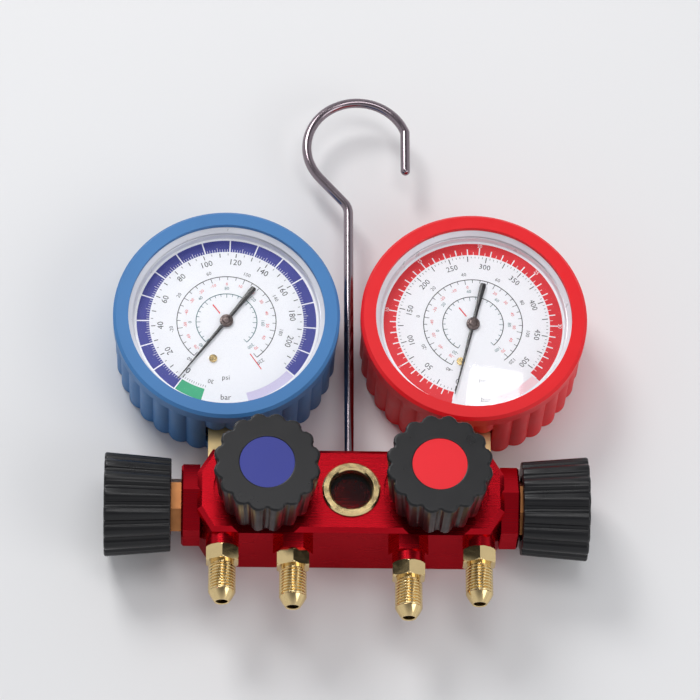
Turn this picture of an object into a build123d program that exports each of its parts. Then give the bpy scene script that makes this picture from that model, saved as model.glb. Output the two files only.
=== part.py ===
"""Four-valve refrigerant manifold with two boot-protected pressure gauges.

The manifold lies on its back: +Z points out of the dials, +Y towards the hanging hook.
The origin is the centre of the body's back face, under the sight glass.  Millimetres.
"""
import os
from math import asin, atan2, cos, degrees, pi, radians, sin, sqrt, tan

from build123d import *

os.makedirs("parts", exist_ok=True)

# ================================================================ driving dimensions
# clearances
RUNNING_CLEARANCE = 0.05
SEAT_CLEARANCE = 0.05
FIT_CLEARANCE = 0.02
SOFT_CLEARANCE = 0.3

# valves: every radius follows the bonnet bore
BORE_RADIUS = 7.0
BONNET_FLANGE = 4.5
BONNET_HEIGHT = 10.0
STEM_THREAD_RADIUS = 4.0
STEM_SHANK_RADIUS = 3.0
STEM_PITCH = 1.5
STEM_LIFT_TURNS = 3.0
REST_TURNS_OPEN = {"low_side": 2.0, "high_side": 2.0, "vacuum": 2.0, "charging": 0.0}
PLUNGER_LENGTH = 6.0
SEAL_THICKNESS = 1.5
O_RING_SECTION = 1.8
GLAND_COVER = 0.6
GLAND_FLOOR = 3.2
WHEEL_SCREW_RADIUS = 1.5
WHEEL_SCREW_LENGTH = 6.5
SCREW_HEAD_RADIUS = 3.5
SCREW_HEAD_HEIGHT = 2.4
SCREW_WELL = 4.5

# handwheels
WHEEL_RADIUS = 21.5
WHEEL_TAPER = 2.2
WHEEL_LENGTH = 27.0
WHEEL_GAP = 1.2
WHEEL_EDGE = 0.8
WHEEL_FLUTES = 16
FLUTE_RADIUS = 1.6
FLUTE_DEPTH = 1.7
WHEEL_RECESS_DEPTH = 12.0
CAP_RADIUS = 11.0
CAP_THICKNESS = 1.6
CAP_SINK = 0.3

# manifold body
BODY_HALF_HEIGHT = 18.0
BODY_CORNER_X = 6.0
BODY_CORNER_Y = 10.0
BODY_FRONT_EDGE = 1.8
BODY_BACK_EDGE = 0.5
BOSS_LENGTH = 6.6
BOSS_EDGE = 0.8
POCKET_DEPTH = 3.0
POCKET_MARGIN = 1.9
GALLERY_RADIUS = 2.0
DRILL_RADIUS = 1.75
PLUG_RADIUS = 2.3
PLUG_LENGTH = 5.0
PLUG_SOCKET_DEPTH = 1.5

# service ports: every radius follows the flare thread
FLARE_THREAD_RADIUS = 5.56
FLARE_THREAD_LENGTH = 12.6
FLARE_CONE_LENGTH = 4.2
FLARE_CONE_SLOPE = 0.6
THREAD_UNDERCUT = 0.8
UNDERCUT_LENGTH = 1.2
PORT_BORE_RADIUS = 2.4
PORT_HEX_LENGTH = 6.2
PORT_ROOT_LENGTH = 8.0
OUTER_NECK_LENGTH = 4.4
LOW_COLLAR_LENGTH = 6.4
HIGH_COLLAR_LENGTH = 10.6

# sight glass
SIGHT_RING_RADIUS = 11.75
SIGHT_RING_STAND = 1.5
SIGHT_RING_EDGE = 0.6
SIGHT_THREAD_DEPTH = 8.0
SIGHT_LENS_THICKNESS = 4.0
SIGHT_CHAMBER_DEPTH = 21.0

# hanging hook
HOOK_WIRE_RADIUS = 2.0
HOOK_SOCKET_DEPTH = 9.0
HOOK_BEND_RISE = 13.35
HOOK_BEND_RADIUS = 8.0
HOOK_LOOP_RADIUS = 21.6
HOOK_LOOP_X = 4.0
HOOK_LOOP_RISE = 28.1
HOOK_ARC_END = 21.0
HOOK_TIP_RISE = 17.6
HOOK_GROOVE_DEPTH = 0.7
GRUB_RADIUS = 1.5

# gauges: every radius follows the case
CASE_RADIUS = 41.0
CASE_WALL = 1.0
CASE_BACK_Z = 2.4
CASE_FRONT_Z = 31.2
BEZEL_WALL = 0.8
BEZEL_SKIRT = 6.0
BEZEL_LIP = 2.2
BEZEL_EDGE = 0.5
LENS_THICKNESS = 1.6
DIAL_Z = 28.5
DIAL_THICKNESS = 0.5
STEM_Z = 14.0
STEM_FLATS = 14.0
STEM_ROOT_RADIUS = 4.9
STEM_ROOT_LENGTH = 6.2
SOCKET_TOP_Z = 20.0
LEDGE_THICKNESS = 2.0
TUBE_THICKNESS = 3.0
TUBE_WIDTH = 10.0
TUBE_WALL = 0.5
TUBE_START = 254.0
TUBE_END = -20.0

# gauge boots
BOOT_WALL = 5.75
BOOT_HEIGHT = 37.5
BOOT_BAND_HEIGHT = 6.5
BOOT_EDGE = 1.2
BOOT_LIP_THICKNESS = 2.2
BOOT_RIBS = 34
RIB_RADIUS = 5.6
RIB_INSET = 0.8

# spacing of the gauges
HOOK_GAP = 4.25
GAUGE_TO_WHEEL_GAP = 11.25
GAUGE_TO_BODY_END = 11.0
SIGHT_TO_POCKET = 1.45
BORE_TO_SEAT_WALL = 3.0

# gauge movement
PLATE_THICKNESS = 1.2
BOTTOM_PLATE_Z = 6.8
TOP_PLATE_Z = 19.2
PILLAR_RADIUS = 1.5
POST_RADIUS = 1.7
PINION_TEETH = 10
SECTOR_TEETH = 80
PRESSURE_ANGLE = 20.0
GEAR_BACKLASH = 0.05
SECTOR_CUT_ANGLE = 27.0
SECTOR_RIM = 2.0
SECTOR_HUB_RADIUS = 3.0
SECTOR_ARM_WIDTH = 2.2
GEAR_Z = 13.0
GEAR_THICKNESS = 1.6
SECTOR_REST_ANGLE = -18.0
TAIL_ANGLE = -98.0
ARBOR_RADIUS = 0.9
LINK_PIN_RADIUS = 0.8
LINK_WIDTH = 3.0
LINK_THICKNESS = 1.0
LINK_GAP = 0.3
LUG_THICKNESS = 1.8
POINTER_THICKNESS = 0.4
POINTER_GAP = 0.9
POINTER_HUB_RADIUS = 2.5
POINTER_ROOT_HALF_WIDTH = 0.8
POINTER_TIP_HALF_WIDTH = 0.25
POINTER_TAIL_HALF_WIDTH = 1.7
REST_ANGLES = {"low_side": -126.6, "high_side": -103.9}
DIAL_SCREW_RADIUS = 0.9
PLATE_SCREW_RADIUS = 0.75
PLATE_SCREW_X = 6.0

# ================================================================ derived places
# handwheel and valve
WHEEL_BASE_RADIUS = WHEEL_RADIUS - WHEEL_TAPER
POCKET_RADIUS = WHEEL_BASE_RADIUS + POCKET_MARGIN
BONNET_FLATS = 2 * BORE_RADIUS + 6
BONNET_NECK_RADIUS = BORE_RADIUS + 0.5
WHEEL_RECESS_RADIUS = BONNET_FLATS / sqrt(3) + 1.95
PLUNGER_RADIUS = BORE_RADIUS - 2
SEAL_RADIUS = PLUNGER_RADIUS - 1.4

# body, from the back face to the front pads
SIDE_VALVE_Z = WHEEL_RADIUS + 1
BODY_DEPTH = SIDE_VALVE_Z + 17.5
POCKET_FLOOR_Z = BODY_DEPTH - POCKET_DEPTH
FRONT_SEAT_Z = STEM_Z + 3
SEAT_DEPTH = POCKET_FLOOR_Z - FRONT_SEAT_Z
STEM_LIFT = STEM_LIFT_TURNS * STEM_PITCH
BONNET_THREAD_LENGTH = SEAT_DEPTH - PLUNGER_LENGTH - STEM_LIFT - 3 * SEAT_CLEARANCE
PORT_Z = BODY_DEPTH - 9
HOOK_Z = STEM_Z + 2
SIGHT_CHAMBER_FLOOR = BODY_DEPTH - SIGHT_CHAMBER_DEPTH

# body, from the middle to the ends
BOOT_RADIUS = CASE_RADIUS + BOOT_WALL
GAUGE_X = BOOT_RADIUS + HOOK_GAP
FRONT_VALVE_X = SIGHT_RING_RADIUS + SIGHT_TO_POCKET + POCKET_RADIUS
NEAREST_SIDE_SEAT_X = FRONT_VALVE_X + BORE_RADIUS + BORE_TO_SEAT_WALL
SHORTEST_FOR_VALVES = NEAREST_SIDE_SEAT_X + SEAT_DEPTH - BOSS_LENGTH
BODY_HALF_LENGTH = max(GAUGE_X + GAUGE_TO_BODY_END, SHORTEST_FOR_VALVES)
BOSS_FACE_X = BODY_HALF_LENGTH + BOSS_LENGTH
BOSS_FLATS = 2 * BODY_HALF_HEIGHT - 7
SIDE_SEAT_X = BOSS_FACE_X - SEAT_DEPTH
OUTER_PORT_X = SIDE_SEAT_X + 3.2
INNER_PORT_X = FRONT_VALVE_X - 11.1
LOW_LINE_Y = BODY_HALF_HEIGHT - 8

# sight glass
SIGHT_THREAD_RADIUS = SIGHT_RING_RADIUS - 1.15
SIGHT_OPENING_RADIUS = SIGHT_RING_RADIUS - 3.25
SIGHT_CHAMBER_RADIUS = SIGHT_RING_RADIUS - 4.15
SIGHT_LENS_TOP = BODY_DEPTH - SIGHT_THREAD_DEPTH + O_RING_SECTION + SIGHT_LENS_THICKNESS

# service ports
PORT_FLATS = 2 * FLARE_THREAD_RADIUS + 1.88
PORT_ROOT_RADIUS = FLARE_THREAD_RADIUS - 0.56
PORT_NECK_RADIUS = FLARE_THREAD_RADIUS + 1.04
COLLAR_FLATS = PORT_FLATS + 1

# gauges and hook
GAUGE_Y = WHEEL_RADIUS + GAUGE_TO_WHEEL_GAP + BOOT_RADIUS
BOOT_OPENING_RADIUS = CASE_RADIUS - 0.5
BOOT_BACK_OPENING_RADIUS = CASE_RADIUS - 9
BEZEL_OPENING_RADIUS = CASE_RADIUS - 2.1
DIAL_RADIUS = CASE_RADIUS - CASE_WALL - 1.2
LENS_Z = CASE_FRONT_Z + FIT_CLEARANCE
TUBE_RADIUS = CASE_RADIUS - 8
SOCKET_HALF_WIDTH = STEM_FLATS / 2 + 2
SOCKET_BOTTOM_Y = 2.6 - CASE_RADIUS
SOCKET_TOP_Y = SOCKET_BOTTOM_Y + 8.4
LEDGE_TOP_Y = SOCKET_TOP_Y + 5
PLATE_SCREW_Y = (LEDGE_TOP_Y + SOCKET_TOP_Y) / 2
HOOK_BEND_Y = GAUGE_Y + BOOT_RADIUS + HOOK_BEND_RISE
HOOK_LOOP_Y = HOOK_BEND_Y + HOOK_LOOP_RISE
HOOK_TIP_Y = HOOK_BEND_Y + HOOK_TIP_RISE

# movement, in proportion to the case
GEAR_MODULE = CASE_RADIUS / 102.5
CENTRE_DISTANCE = GEAR_MODULE * (PINION_TEETH + SECTOR_TEETH) / 2
TAIL_LENGTH = CENTRE_DISTANCE / 2.4
PLATE_HALF_WIDTH = CASE_RADIUS * 0.28
PLATE_TOP_Y = CASE_RADIUS * 0.195
PILLAR_X = PLATE_HALF_WIDTH - 2.7
PILLAR_TOP_Y = PLATE_TOP_Y - 2.8
PILLAR_BOTTOM_Y = LEDGE_TOP_Y + 1.2
DIAL_SCREW_X = -CASE_RADIUS * 0.13
DIAL_SCREW_Y = -CASE_RADIUS * 0.415
POINTER_TIP = DIAL_RADIUS - 6
POINTER_TAIL = DIAL_RADIUS / 2
POINTER_Z = DIAL_Z + DIAL_THICKNESS + POINTER_GAP
LINK_Z = GEAR_Z + GEAR_THICKNESS + LINK_GAP

VALVE_PLANES = {
    "low_side": Plane((-FRONT_VALVE_X, 0, POCKET_FLOOR_Z), x_dir=(1, 0, 0), z_dir=(0, 0, 1)),
    "high_side": Plane((FRONT_VALVE_X, 0, POCKET_FLOOR_Z), x_dir=(1, 0, 0), z_dir=(0, 0, 1)),
    "vacuum": Plane((-BOSS_FACE_X, 0, SIDE_VALVE_Z), x_dir=(0, 1, 0), z_dir=(-1, 0, 0)),
    "charging": Plane((BOSS_FACE_X, 0, SIDE_VALVE_Z), x_dir=(0, 1, 0), z_dir=(1, 0, 0)),
}
PORT_PLACES = {
    "vacuum": -OUTER_PORT_X,
    "low_side": -INNER_PORT_X,
    "high_side": INNER_PORT_X,
    "charging": OUTER_PORT_X,
}
NECK_LENGTHS = {
    "vacuum": OUTER_NECK_LENGTH,
    "low_side": LOW_COLLAR_LENGTH,
    "high_side": HIGH_COLLAR_LENGTH,
    "charging": OUTER_NECK_LENGTH,
}
INNER_PORTS = ("low_side", "high_side")


# ================================================================ shape helpers
def rod(start, end, radius):
    """Cylinder between two points."""
    path = Vector(*end) - Vector(*start)
    return extrude(Plane(origin=start, z_dir=path) * Circle(radius), path.length)


def block(low, high):
    """Box between two corners."""
    size = [b - a for a, b in zip(low, high)]
    middle = [(a + b) / 2 for a, b in zip(low, high)]
    return Pos(*middle) * Box(*size)


def turned(profile):
    """Solid of revolution about Z from (radius, height) points."""
    outline = Polyline(*[(radius, 0, height) for radius, height in profile], close=True)
    return revolve(make_face(outline), Axis.Z)


def ring(outer, inner, bottom, top):
    """Plain tube about Z."""
    return turned([(inner, bottom), (outer, bottom), (outer, top), (inner, top)])


def o_ring(radius, section, middle):
    """O-ring with an eight-sided section."""
    corners = [polar(section / 2, 45 * index + 22.5) for index in range(8)]
    return turned([(radius + x, middle + z) for x, z in corners])


def hexagon(flats, bottom, top):
    """Hexagonal prism about Z."""
    outline = RegularPolygon(flats / 2, 6, major_radius=False)
    return extrude(Plane.XY.offset(bottom) * outline, top - bottom)


def square_bar(width, bottom, top):
    """Square prism about Z."""
    return Pos(0, 0, (bottom + top) / 2) * Box(width, width, top - bottom)


def polar(radius, angle):
    """Point at a radius and an angle in degrees."""
    return radius * cos(radians(angle)), radius * sin(radians(angle))


def stepped(point, direction, distance):
    """Point moved along a unit direction."""
    return tuple(p + d * distance for p, d in zip(point, direction))


def save(name, *solids):
    """Write one node; several solids are kept apart in it."""
    shape = solids[0] if len(solids) == 1 else Compound(children=list(solids))
    export_step(shape, f"parts/{name}.step")


# ================================================================ manifold body
def body_outline():
    """Front view of the body with its cut corners."""
    x, y = BODY_HALF_LENGTH, BODY_HALF_HEIGHT
    cut_x, cut_y = BODY_CORNER_X, BODY_CORNER_Y
    points = [(x - cut_x, -y), (x, cut_y - y), (x, y - cut_y), (x - cut_x, y)]
    mirrored = [(-px, py) for px, py in reversed(points)]
    return make_face(Polyline(*points, *mirrored, close=True))


def end_boss(side):
    """Hexagonal boss that carries a side valve."""
    foot = Plane((side * (BODY_HALF_LENGTH - 1), 0, SIDE_VALVE_Z), x_dir=(0, 1, 0), z_dir=(side, 0, 0))
    outline = RegularPolygon(BOSS_FLATS / 2, 6, major_radius=False)
    boss = extrude(foot * Rot(0, 0, 30) * outline, BOSS_LENGTH + 1)
    end = boss.faces().sort_by(Axis.X)[-1 if side > 0 else 0]
    return chamfer(end.edges(), BOSS_EDGE)


def body_blank():
    """Block with its end bosses, valve pockets and outer port necks."""
    blank = extrude(body_outline(), BODY_DEPTH)
    blank = chamfer(blank.faces().sort_by(Axis.Z)[-1].edges(), BODY_FRONT_EDGE)
    blank = chamfer(blank.faces().sort_by(Axis.Z)[0].edges(), BODY_BACK_EDGE)
    for side in (-1, 1):
        blank += end_boss(side)
        blank -= Pos(side * FRONT_VALVE_X, 0, 0) * ring(POCKET_RADIUS, 0, POCKET_FLOOR_Z, BODY_DEPTH + 1)
        x = side * OUTER_PORT_X
        root = (x, 1 - BODY_HALF_HEIGHT, PORT_Z)
        end = (x, -BODY_HALF_HEIGHT - OUTER_NECK_LENGTH, PORT_Z)
        blank += rod(root, end, PORT_NECK_RADIUS)
    return blank


def line_drillings(side):
    """Common gallery, gauge line and low line of one half."""
    front_x = side * FRONT_VALVE_X
    inner_x = side * INNER_PORT_X
    past_seat = side * (SIDE_SEAT_X + 1)
    past_boss = side * (BOSS_FACE_X + 1)
    past_top = BODY_HALF_HEIGHT + 1
    return [
        rod((0, 0, SIDE_VALVE_Z), (past_seat, 0, SIDE_VALVE_Z), GALLERY_RADIUS),
        rod((front_x, 0, STEM_Z - GALLERY_RADIUS), (front_x, 0, FRONT_SEAT_Z + 1), GALLERY_RADIUS),
        rod((front_x, 0, STEM_Z), (front_x, past_top, STEM_Z), DRILL_RADIUS),
        rod((inner_x, LOW_LINE_Y, STEM_Z), (past_boss, LOW_LINE_Y, STEM_Z), DRILL_RADIUS),
        rod((inner_x, LOW_LINE_Y, -1), (inner_x, LOW_LINE_Y, PORT_Z), DRILL_RADIUS),
    ]


def gauge_seat(side):
    """Hole for a gauge socket's threaded root."""
    bottom = (side * GAUGE_X, BODY_HALF_HEIGHT - STEM_ROOT_LENGTH - 2 * DRILL_RADIUS, STEM_Z)
    return rod(bottom, (side * GAUGE_X, BODY_HALF_HEIGHT + 1, STEM_Z), STEM_ROOT_RADIUS + FIT_CLEARANCE)


def port_seat(name):
    """Passage and threaded hole of one port."""
    x = PORT_PLACES[name]
    inner = name in INNER_PORTS
    mouth_y = -BODY_HALF_HEIGHT if inner else -BODY_HALF_HEIGHT - OUTER_NECK_LENGTH
    passage_y = LOW_LINE_Y + DRILL_RADIUS if inner else 0
    outside = (x, mouth_y - 1, PORT_Z)
    passage = rod((x, passage_y, PORT_Z), outside, PORT_BORE_RADIUS)
    return passage + rod((x, mouth_y + PORT_ROOT_LENGTH, PORT_Z), outside, PORT_ROOT_RADIUS + FIT_CLEARANCE)


def plug_seats(side):
    """Mouths of the drillings that are plugged, with their outward directions."""
    return [
        ((side * FRONT_VALVE_X, BODY_HALF_HEIGHT, STEM_Z), (0, 1, 0)),
        ((side * BOSS_FACE_X, LOW_LINE_Y, STEM_Z), (side, 0, 0)),
        ((side * INNER_PORT_X, LOW_LINE_Y, 0), (0, 0, -1)),
    ]


def manifold_body():
    """Body with its bores, drillings, sight glass seat and hook socket."""
    body = body_blank()
    for plane in VALVE_PLANES.values():
        body -= plane * ring(BORE_RADIUS, 0, -SEAT_DEPTH, 1)
    for side in (-1, 1):
        for cut in line_drillings(side):
            body -= cut
        body -= gauge_seat(side)
        for centre, direction in plug_seats(side):
            inner = stepped(centre, direction, -PLUG_LENGTH)
            body -= rod(inner, stepped(centre, direction, 1), PLUG_RADIUS + FIT_CLEARANCE)
    for name in PORT_PLACES:
        body -= port_seat(name)
    seat_z = BODY_DEPTH - SIGHT_THREAD_DEPTH
    body -= ring(SIGHT_CHAMBER_RADIUS, 0, SIGHT_CHAMBER_FLOOR, BODY_DEPTH + 1)
    body -= ring(SIGHT_THREAD_RADIUS + FIT_CLEARANCE, 0, seat_z, BODY_DEPTH + 1)
    hook_y = BODY_HALF_HEIGHT - HOOK_SOCKET_DEPTH
    hook_end = (0, BODY_HALF_HEIGHT + 1, HOOK_Z)
    body -= rod((0, hook_y - SEAT_CLEARANCE, HOOK_Z), hook_end, HOOK_WIRE_RADIUS + RUNNING_CLEARANCE)
    grub_y = hook_y + HOOK_SOCKET_DEPTH / 2
    body -= rod((0, grub_y, -1), (0, grub_y, HOOK_Z), GRUB_RADIUS + FIT_CLEARANCE)
    return body


def gallery_plugs():
    """Socket-head plugs in the six drilling mouths."""
    plugs = []
    for side in (-1, 1):
        for centre, direction in plug_seats(side):
            plug = rod(stepped(centre, direction, -PLUG_LENGTH), centre, PLUG_RADIUS)
            floor = stepped(centre, direction, -PLUG_SOCKET_DEPTH)
            plugs.append(plug - rod(floor, stepped(centre, direction, 1), PLUG_RADIUS / 2))
    return plugs


# ================================================================ sight glass
def sight_lens():
    bottom = SIGHT_LENS_TOP - SIGHT_LENS_THICKNESS
    return ring(SIGHT_THREAD_RADIUS - SOFT_CLEARANCE, 0, bottom, SIGHT_LENS_TOP)


def sight_bezel():
    """Brass ring screwed down on the lens."""
    top = BODY_DEPTH + SIGHT_RING_STAND
    lens_top = SIGHT_LENS_TOP + FIT_CLEARANCE
    flange = BODY_DEPTH + FIT_CLEARANCE
    return turned([
        (SIGHT_OPENING_RADIUS, lens_top),
        (SIGHT_THREAD_RADIUS, lens_top),
        (SIGHT_THREAD_RADIUS, flange),
        (SIGHT_RING_RADIUS, flange),
        (SIGHT_RING_RADIUS, top - SIGHT_RING_EDGE),
        (SIGHT_RING_RADIUS - SIGHT_RING_EDGE, top),
        (SIGHT_OPENING_RADIUS + SIGHT_RING_EDGE, top),
        (SIGHT_OPENING_RADIUS, top - SIGHT_RING_EDGE),
    ])


def sight_o_ring():
    radius = SIGHT_CHAMBER_RADIUS + O_RING_SECTION / 2 + 2 * RUNNING_CLEARANCE
    middle = BODY_DEPTH - SIGHT_THREAD_DEPTH + O_RING_SECTION / 2
    return o_ring(radius, O_RING_SECTION - 2 * FIT_CLEARANCE, middle)


# ================================================================ valve pieces, in valve coordinates
def valve_face(lift):
    """Height of the plunger's soft face, which is on the seat at no lift."""
    return SEAT_CLEARANCE + lift - SEAT_DEPTH


def bonnet():
    """Brass bonnet: thread, hexagon, neck and O-ring gland."""
    thread = BORE_RADIUS - FIT_CLEARANCE
    lead = 0.8
    bottom = -BONNET_THREAD_LENGTH
    shape = turned([
        (0, bottom),
        (thread - lead, bottom),
        (thread, bottom + lead),
        (thread, 1),
        (BONNET_NECK_RADIUS, 1),
        (BONNET_NECK_RADIUS, BONNET_HEIGHT - GLAND_COVER),
        (BONNET_NECK_RADIUS - GLAND_COVER, BONNET_HEIGHT),
        (0, BONNET_HEIGHT),
    ])
    shape += hexagon(BONNET_FLATS, FIT_CLEARANCE, BONNET_FLANGE)
    thread_end = BONNET_HEIGHT - GLAND_FLOOR
    shape -= ring(STEM_THREAD_RADIUS + RUNNING_CLEARANCE, 0, bottom - 1, thread_end)
    shape -= ring(STEM_SHANK_RADIUS + RUNNING_CLEARANCE, 0, thread_end - 1, BONNET_HEIGHT + 1)
    gland_top = BONNET_HEIGHT - GLAND_COVER
    shape -= ring(STEM_SHANK_RADIUS + O_RING_SECTION, 0, gland_top - O_RING_SECTION, gland_top)
    return shape


def stem_o_ring():
    middle = BONNET_HEIGHT - GLAND_COVER - O_RING_SECTION / 2
    radius = STEM_SHANK_RADIUS + O_RING_SECTION / 2
    return o_ring(radius, O_RING_SECTION - 4 * RUNNING_CLEARANCE, middle)


def plunger(lift):
    """Cup that the stem's tip turns in, and its soft face."""
    face = valve_face(lift)
    top = face + PLUNGER_LENGTH
    seal_top = face + SEAL_THICKNESS
    skirt = face + 0.4
    cup = turned([
        (0, seal_top),
        (SEAL_RADIUS + FIT_CLEARANCE, seal_top),
        (SEAL_RADIUS + FIT_CLEARANCE, skirt),
        (PLUNGER_RADIUS - 0.6, skirt),
        (PLUNGER_RADIUS, skirt + 0.6),
        (PLUNGER_RADIUS, top),
        (0, top),
    ])
    cup -= ring(STEM_THREAD_RADIUS / 2 + RUNNING_CLEARANCE, 0, seal_top + 1, top + 1)
    return cup, ring(SEAL_RADIUS, 0, face, seal_top - FIT_CLEARANCE)


def stem(lift):
    """Threaded stem with its square end, and the screw that holds the handwheel."""
    face = valve_face(lift)
    tip = face + SEAL_THICKNESS + 1 + SEAT_CLEARANCE
    shoulder = face + PLUNGER_LENGTH + SEAT_CLEARANCE
    thread_top = BONNET_HEIGHT - GLAND_FLOOR - STEM_LIFT + lift
    hub = WHEEL_GAP + WHEEL_RECESS_DEPTH + lift
    screw_seat = wheel_screw_seat() + lift
    square_end = screw_seat - 0.5
    body = turned([
        (0, tip),
        (STEM_THREAD_RADIUS / 2, tip),
        (STEM_THREAD_RADIUS / 2, shoulder),
        (STEM_THREAD_RADIUS, shoulder),
        (STEM_THREAD_RADIUS, thread_top),
        (STEM_SHANK_RADIUS, thread_top),
        (STEM_SHANK_RADIUS, hub),
        (0, hub),
    ])
    body += square_bar(STEM_SHANK_RADIUS * sqrt(2), hub - 1, square_end)
    screw_end = square_end - WHEEL_SCREW_LENGTH
    body -= ring(WHEEL_SCREW_RADIUS + FIT_CLEARANCE, 0, screw_end - 0.5, square_end + 1)
    head_top = screw_seat + SCREW_HEAD_HEIGHT
    screw = ring(WHEEL_SCREW_RADIUS, 0, screw_end, screw_seat + 1)
    screw += ring(SCREW_HEAD_RADIUS, 0, screw_seat, head_top)
    screw -= hexagon(SCREW_HEAD_RADIUS * 0.7, screw_seat + 1, head_top + 1)
    return body, screw


def wheel_screw_seat():
    """Height of the face under the screw head in a closed valve's wheel."""
    return WHEEL_GAP + WHEEL_LENGTH - CAP_SINK - CAP_THICKNESS - SCREW_WELL


def wheel_blank():
    """Turned outside of the handwheel with a bevelled front edge."""
    bottom = WHEEL_GAP
    top = WHEEL_GAP + WHEEL_LENGTH
    edge_z = top - WHEEL_EDGE
    outline = [(0, bottom), (WHEEL_BASE_RADIUS, bottom), (WHEEL_RADIUS, edge_z)]
    outline += [(WHEEL_RADIUS - WHEEL_EDGE, top), (0, top)]
    return turned(outline)


def handwheel(lift):
    """Fluted handwheel with a hollow underside."""
    bottom = WHEEL_GAP
    top = WHEEL_GAP + WHEEL_LENGTH
    wheel = wheel_blank()
    lean = degrees(atan2(WHEEL_TAPER, WHEEL_LENGTH - WHEEL_EDGE))
    flute_centre = WHEEL_BASE_RADIUS + FLUTE_RADIUS - FLUTE_DEPTH
    flute = Pos(flute_centre, 0, bottom) * Rot(0, lean, 0) * Cylinder(FLUTE_RADIUS, 3 * WHEEL_LENGTH)
    for index in range(WHEEL_FLUTES):
        wheel -= Rot(0, 0, index * 360 / WHEEL_FLUTES) * flute
    screw_seat = wheel_screw_seat()
    wheel -= ring(WHEEL_RECESS_RADIUS, 0, bottom - 1, bottom + WHEEL_RECESS_DEPTH)
    wheel -= square_bar(STEM_SHANK_RADIUS * sqrt(2) + 2 * FIT_CLEARANCE, bottom, top)
    wheel -= ring(SCREW_HEAD_RADIUS + 0.7, 0, screw_seat, top)
    wheel -= ring(CAP_RADIUS + FIT_CLEARANCE, 0, top - CAP_THICKNESS - CAP_SINK, top + 1)
    return Pos(0, 0, lift) * wheel


def wheel_cap(lift):
    """Coloured disc that covers the wheel's screw."""
    top = WHEEL_GAP + WHEEL_LENGTH - CAP_SINK + lift
    return ring(CAP_RADIUS, 0, top - CAP_THICKNESS + FIT_CLEARANCE, top)


# ================================================================ service ports
def port_plane(name):
    """Plane on the body's lower face, with +Z along the port."""
    return Plane((PORT_PLACES[name], -BODY_HALF_HEIGHT, PORT_Z), x_dir=(1, 0, 0), z_dir=(0, -1, 0))


def port_fitting(name):
    """Male flare fitting with its hexagon and threaded root."""
    hex_bottom = NECK_LENGTHS[name] + FIT_CLEARANCE
    hex_top = hex_bottom + PORT_HEX_LENGTH
    thread_top = hex_top + FLARE_THREAD_LENGTH
    tip = thread_top + FLARE_CONE_LENGTH
    root_start = 0 if name in INNER_PORTS else hex_bottom
    root_bottom = root_start - PORT_ROOT_LENGTH + SOFT_CLEARANCE
    undercut_radius = FLARE_THREAD_RADIUS - THREAD_UNDERCUT
    thread_start = hex_top + UNDERCUT_LENGTH
    fitting = turned([
        (PORT_BORE_RADIUS, root_bottom),
        (PORT_ROOT_RADIUS, root_bottom),
        (PORT_ROOT_RADIUS, hex_bottom + 0.5),
        (undercut_radius, hex_bottom + 0.5),
        (undercut_radius, thread_start),
        (FLARE_THREAD_RADIUS, thread_start + 0.6),
        (FLARE_THREAD_RADIUS, thread_top),
        (FLARE_THREAD_RADIUS - FLARE_CONE_LENGTH * FLARE_CONE_SLOPE, tip),
        (PORT_BORE_RADIUS, tip),
    ])
    nut = hexagon(PORT_FLATS, hex_bottom, hex_top) - ring(PORT_BORE_RADIUS, 0, hex_bottom - 1, hex_top + 1)
    return port_plane(name) * (fitting + nut)


def port_collar(name):
    """Anodised collar between the body and an inner port's hexagon."""
    length = NECK_LENGTHS[name]
    collar = hexagon(COLLAR_FLATS, FIT_CLEARANCE, min(length, LOW_COLLAR_LENGTH))
    collar += ring(PORT_NECK_RADIUS, 0, FIT_CLEARANCE, length - FIT_CLEARANCE)
    bore = ring(PORT_ROOT_RADIUS + FIT_CLEARANCE, 0, -1, length + 1)
    return port_plane(name) * (collar - bore)


# ================================================================ hanging hook
def hook_path():
    """Centreline of the wire in the plane z = HOOK_Z."""
    bottom = (0, BODY_HALF_HEIGHT - HOOK_SOCKET_DEPTH, HOOK_Z)
    bend = Vector(0, HOOK_BEND_Y, HOOK_Z)
    centre = Vector(HOOK_LOOP_X, HOOK_LOOP_Y, HOOK_Z)
    to_centre = centre - bend
    reach = to_centre.length
    half = degrees(asin(HOOK_LOOP_RADIUS / reach))
    heading = degrees(atan2(to_centre.Y, to_centre.X)) + half
    touch_length = sqrt(reach ** 2 - HOOK_LOOP_RADIUS ** 2)
    touch = bend + Vector(*polar(touch_length, heading), 0)
    setback = HOOK_BEND_RADIUS * tan(radians((heading - 90) / 2))
    bend_in = bend - Vector(0, setback, 0)
    bend_out = bend + Vector(*polar(setback, heading), 0)
    stem_line = Line(bottom, bend_in)
    bend_arc = TangentArc(bend_in, bend_out, tangent=(0, 1, 0))
    rise = Line(bend_out, touch)
    arc_end = centre + Vector(*polar(HOOK_LOOP_RADIUS, HOOK_ARC_END), 0)
    arc_mid = centre + Vector(*polar(HOOK_LOOP_RADIUS, (HOOK_ARC_END + heading + 90) / 2), 0)
    loop = ThreePointArc(touch, arc_mid, arc_end)
    tip = Line(arc_end, (arc_end.X, HOOK_TIP_Y, HOOK_Z))
    return [stem_line, bend_arc, rise, loop, tip]


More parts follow.
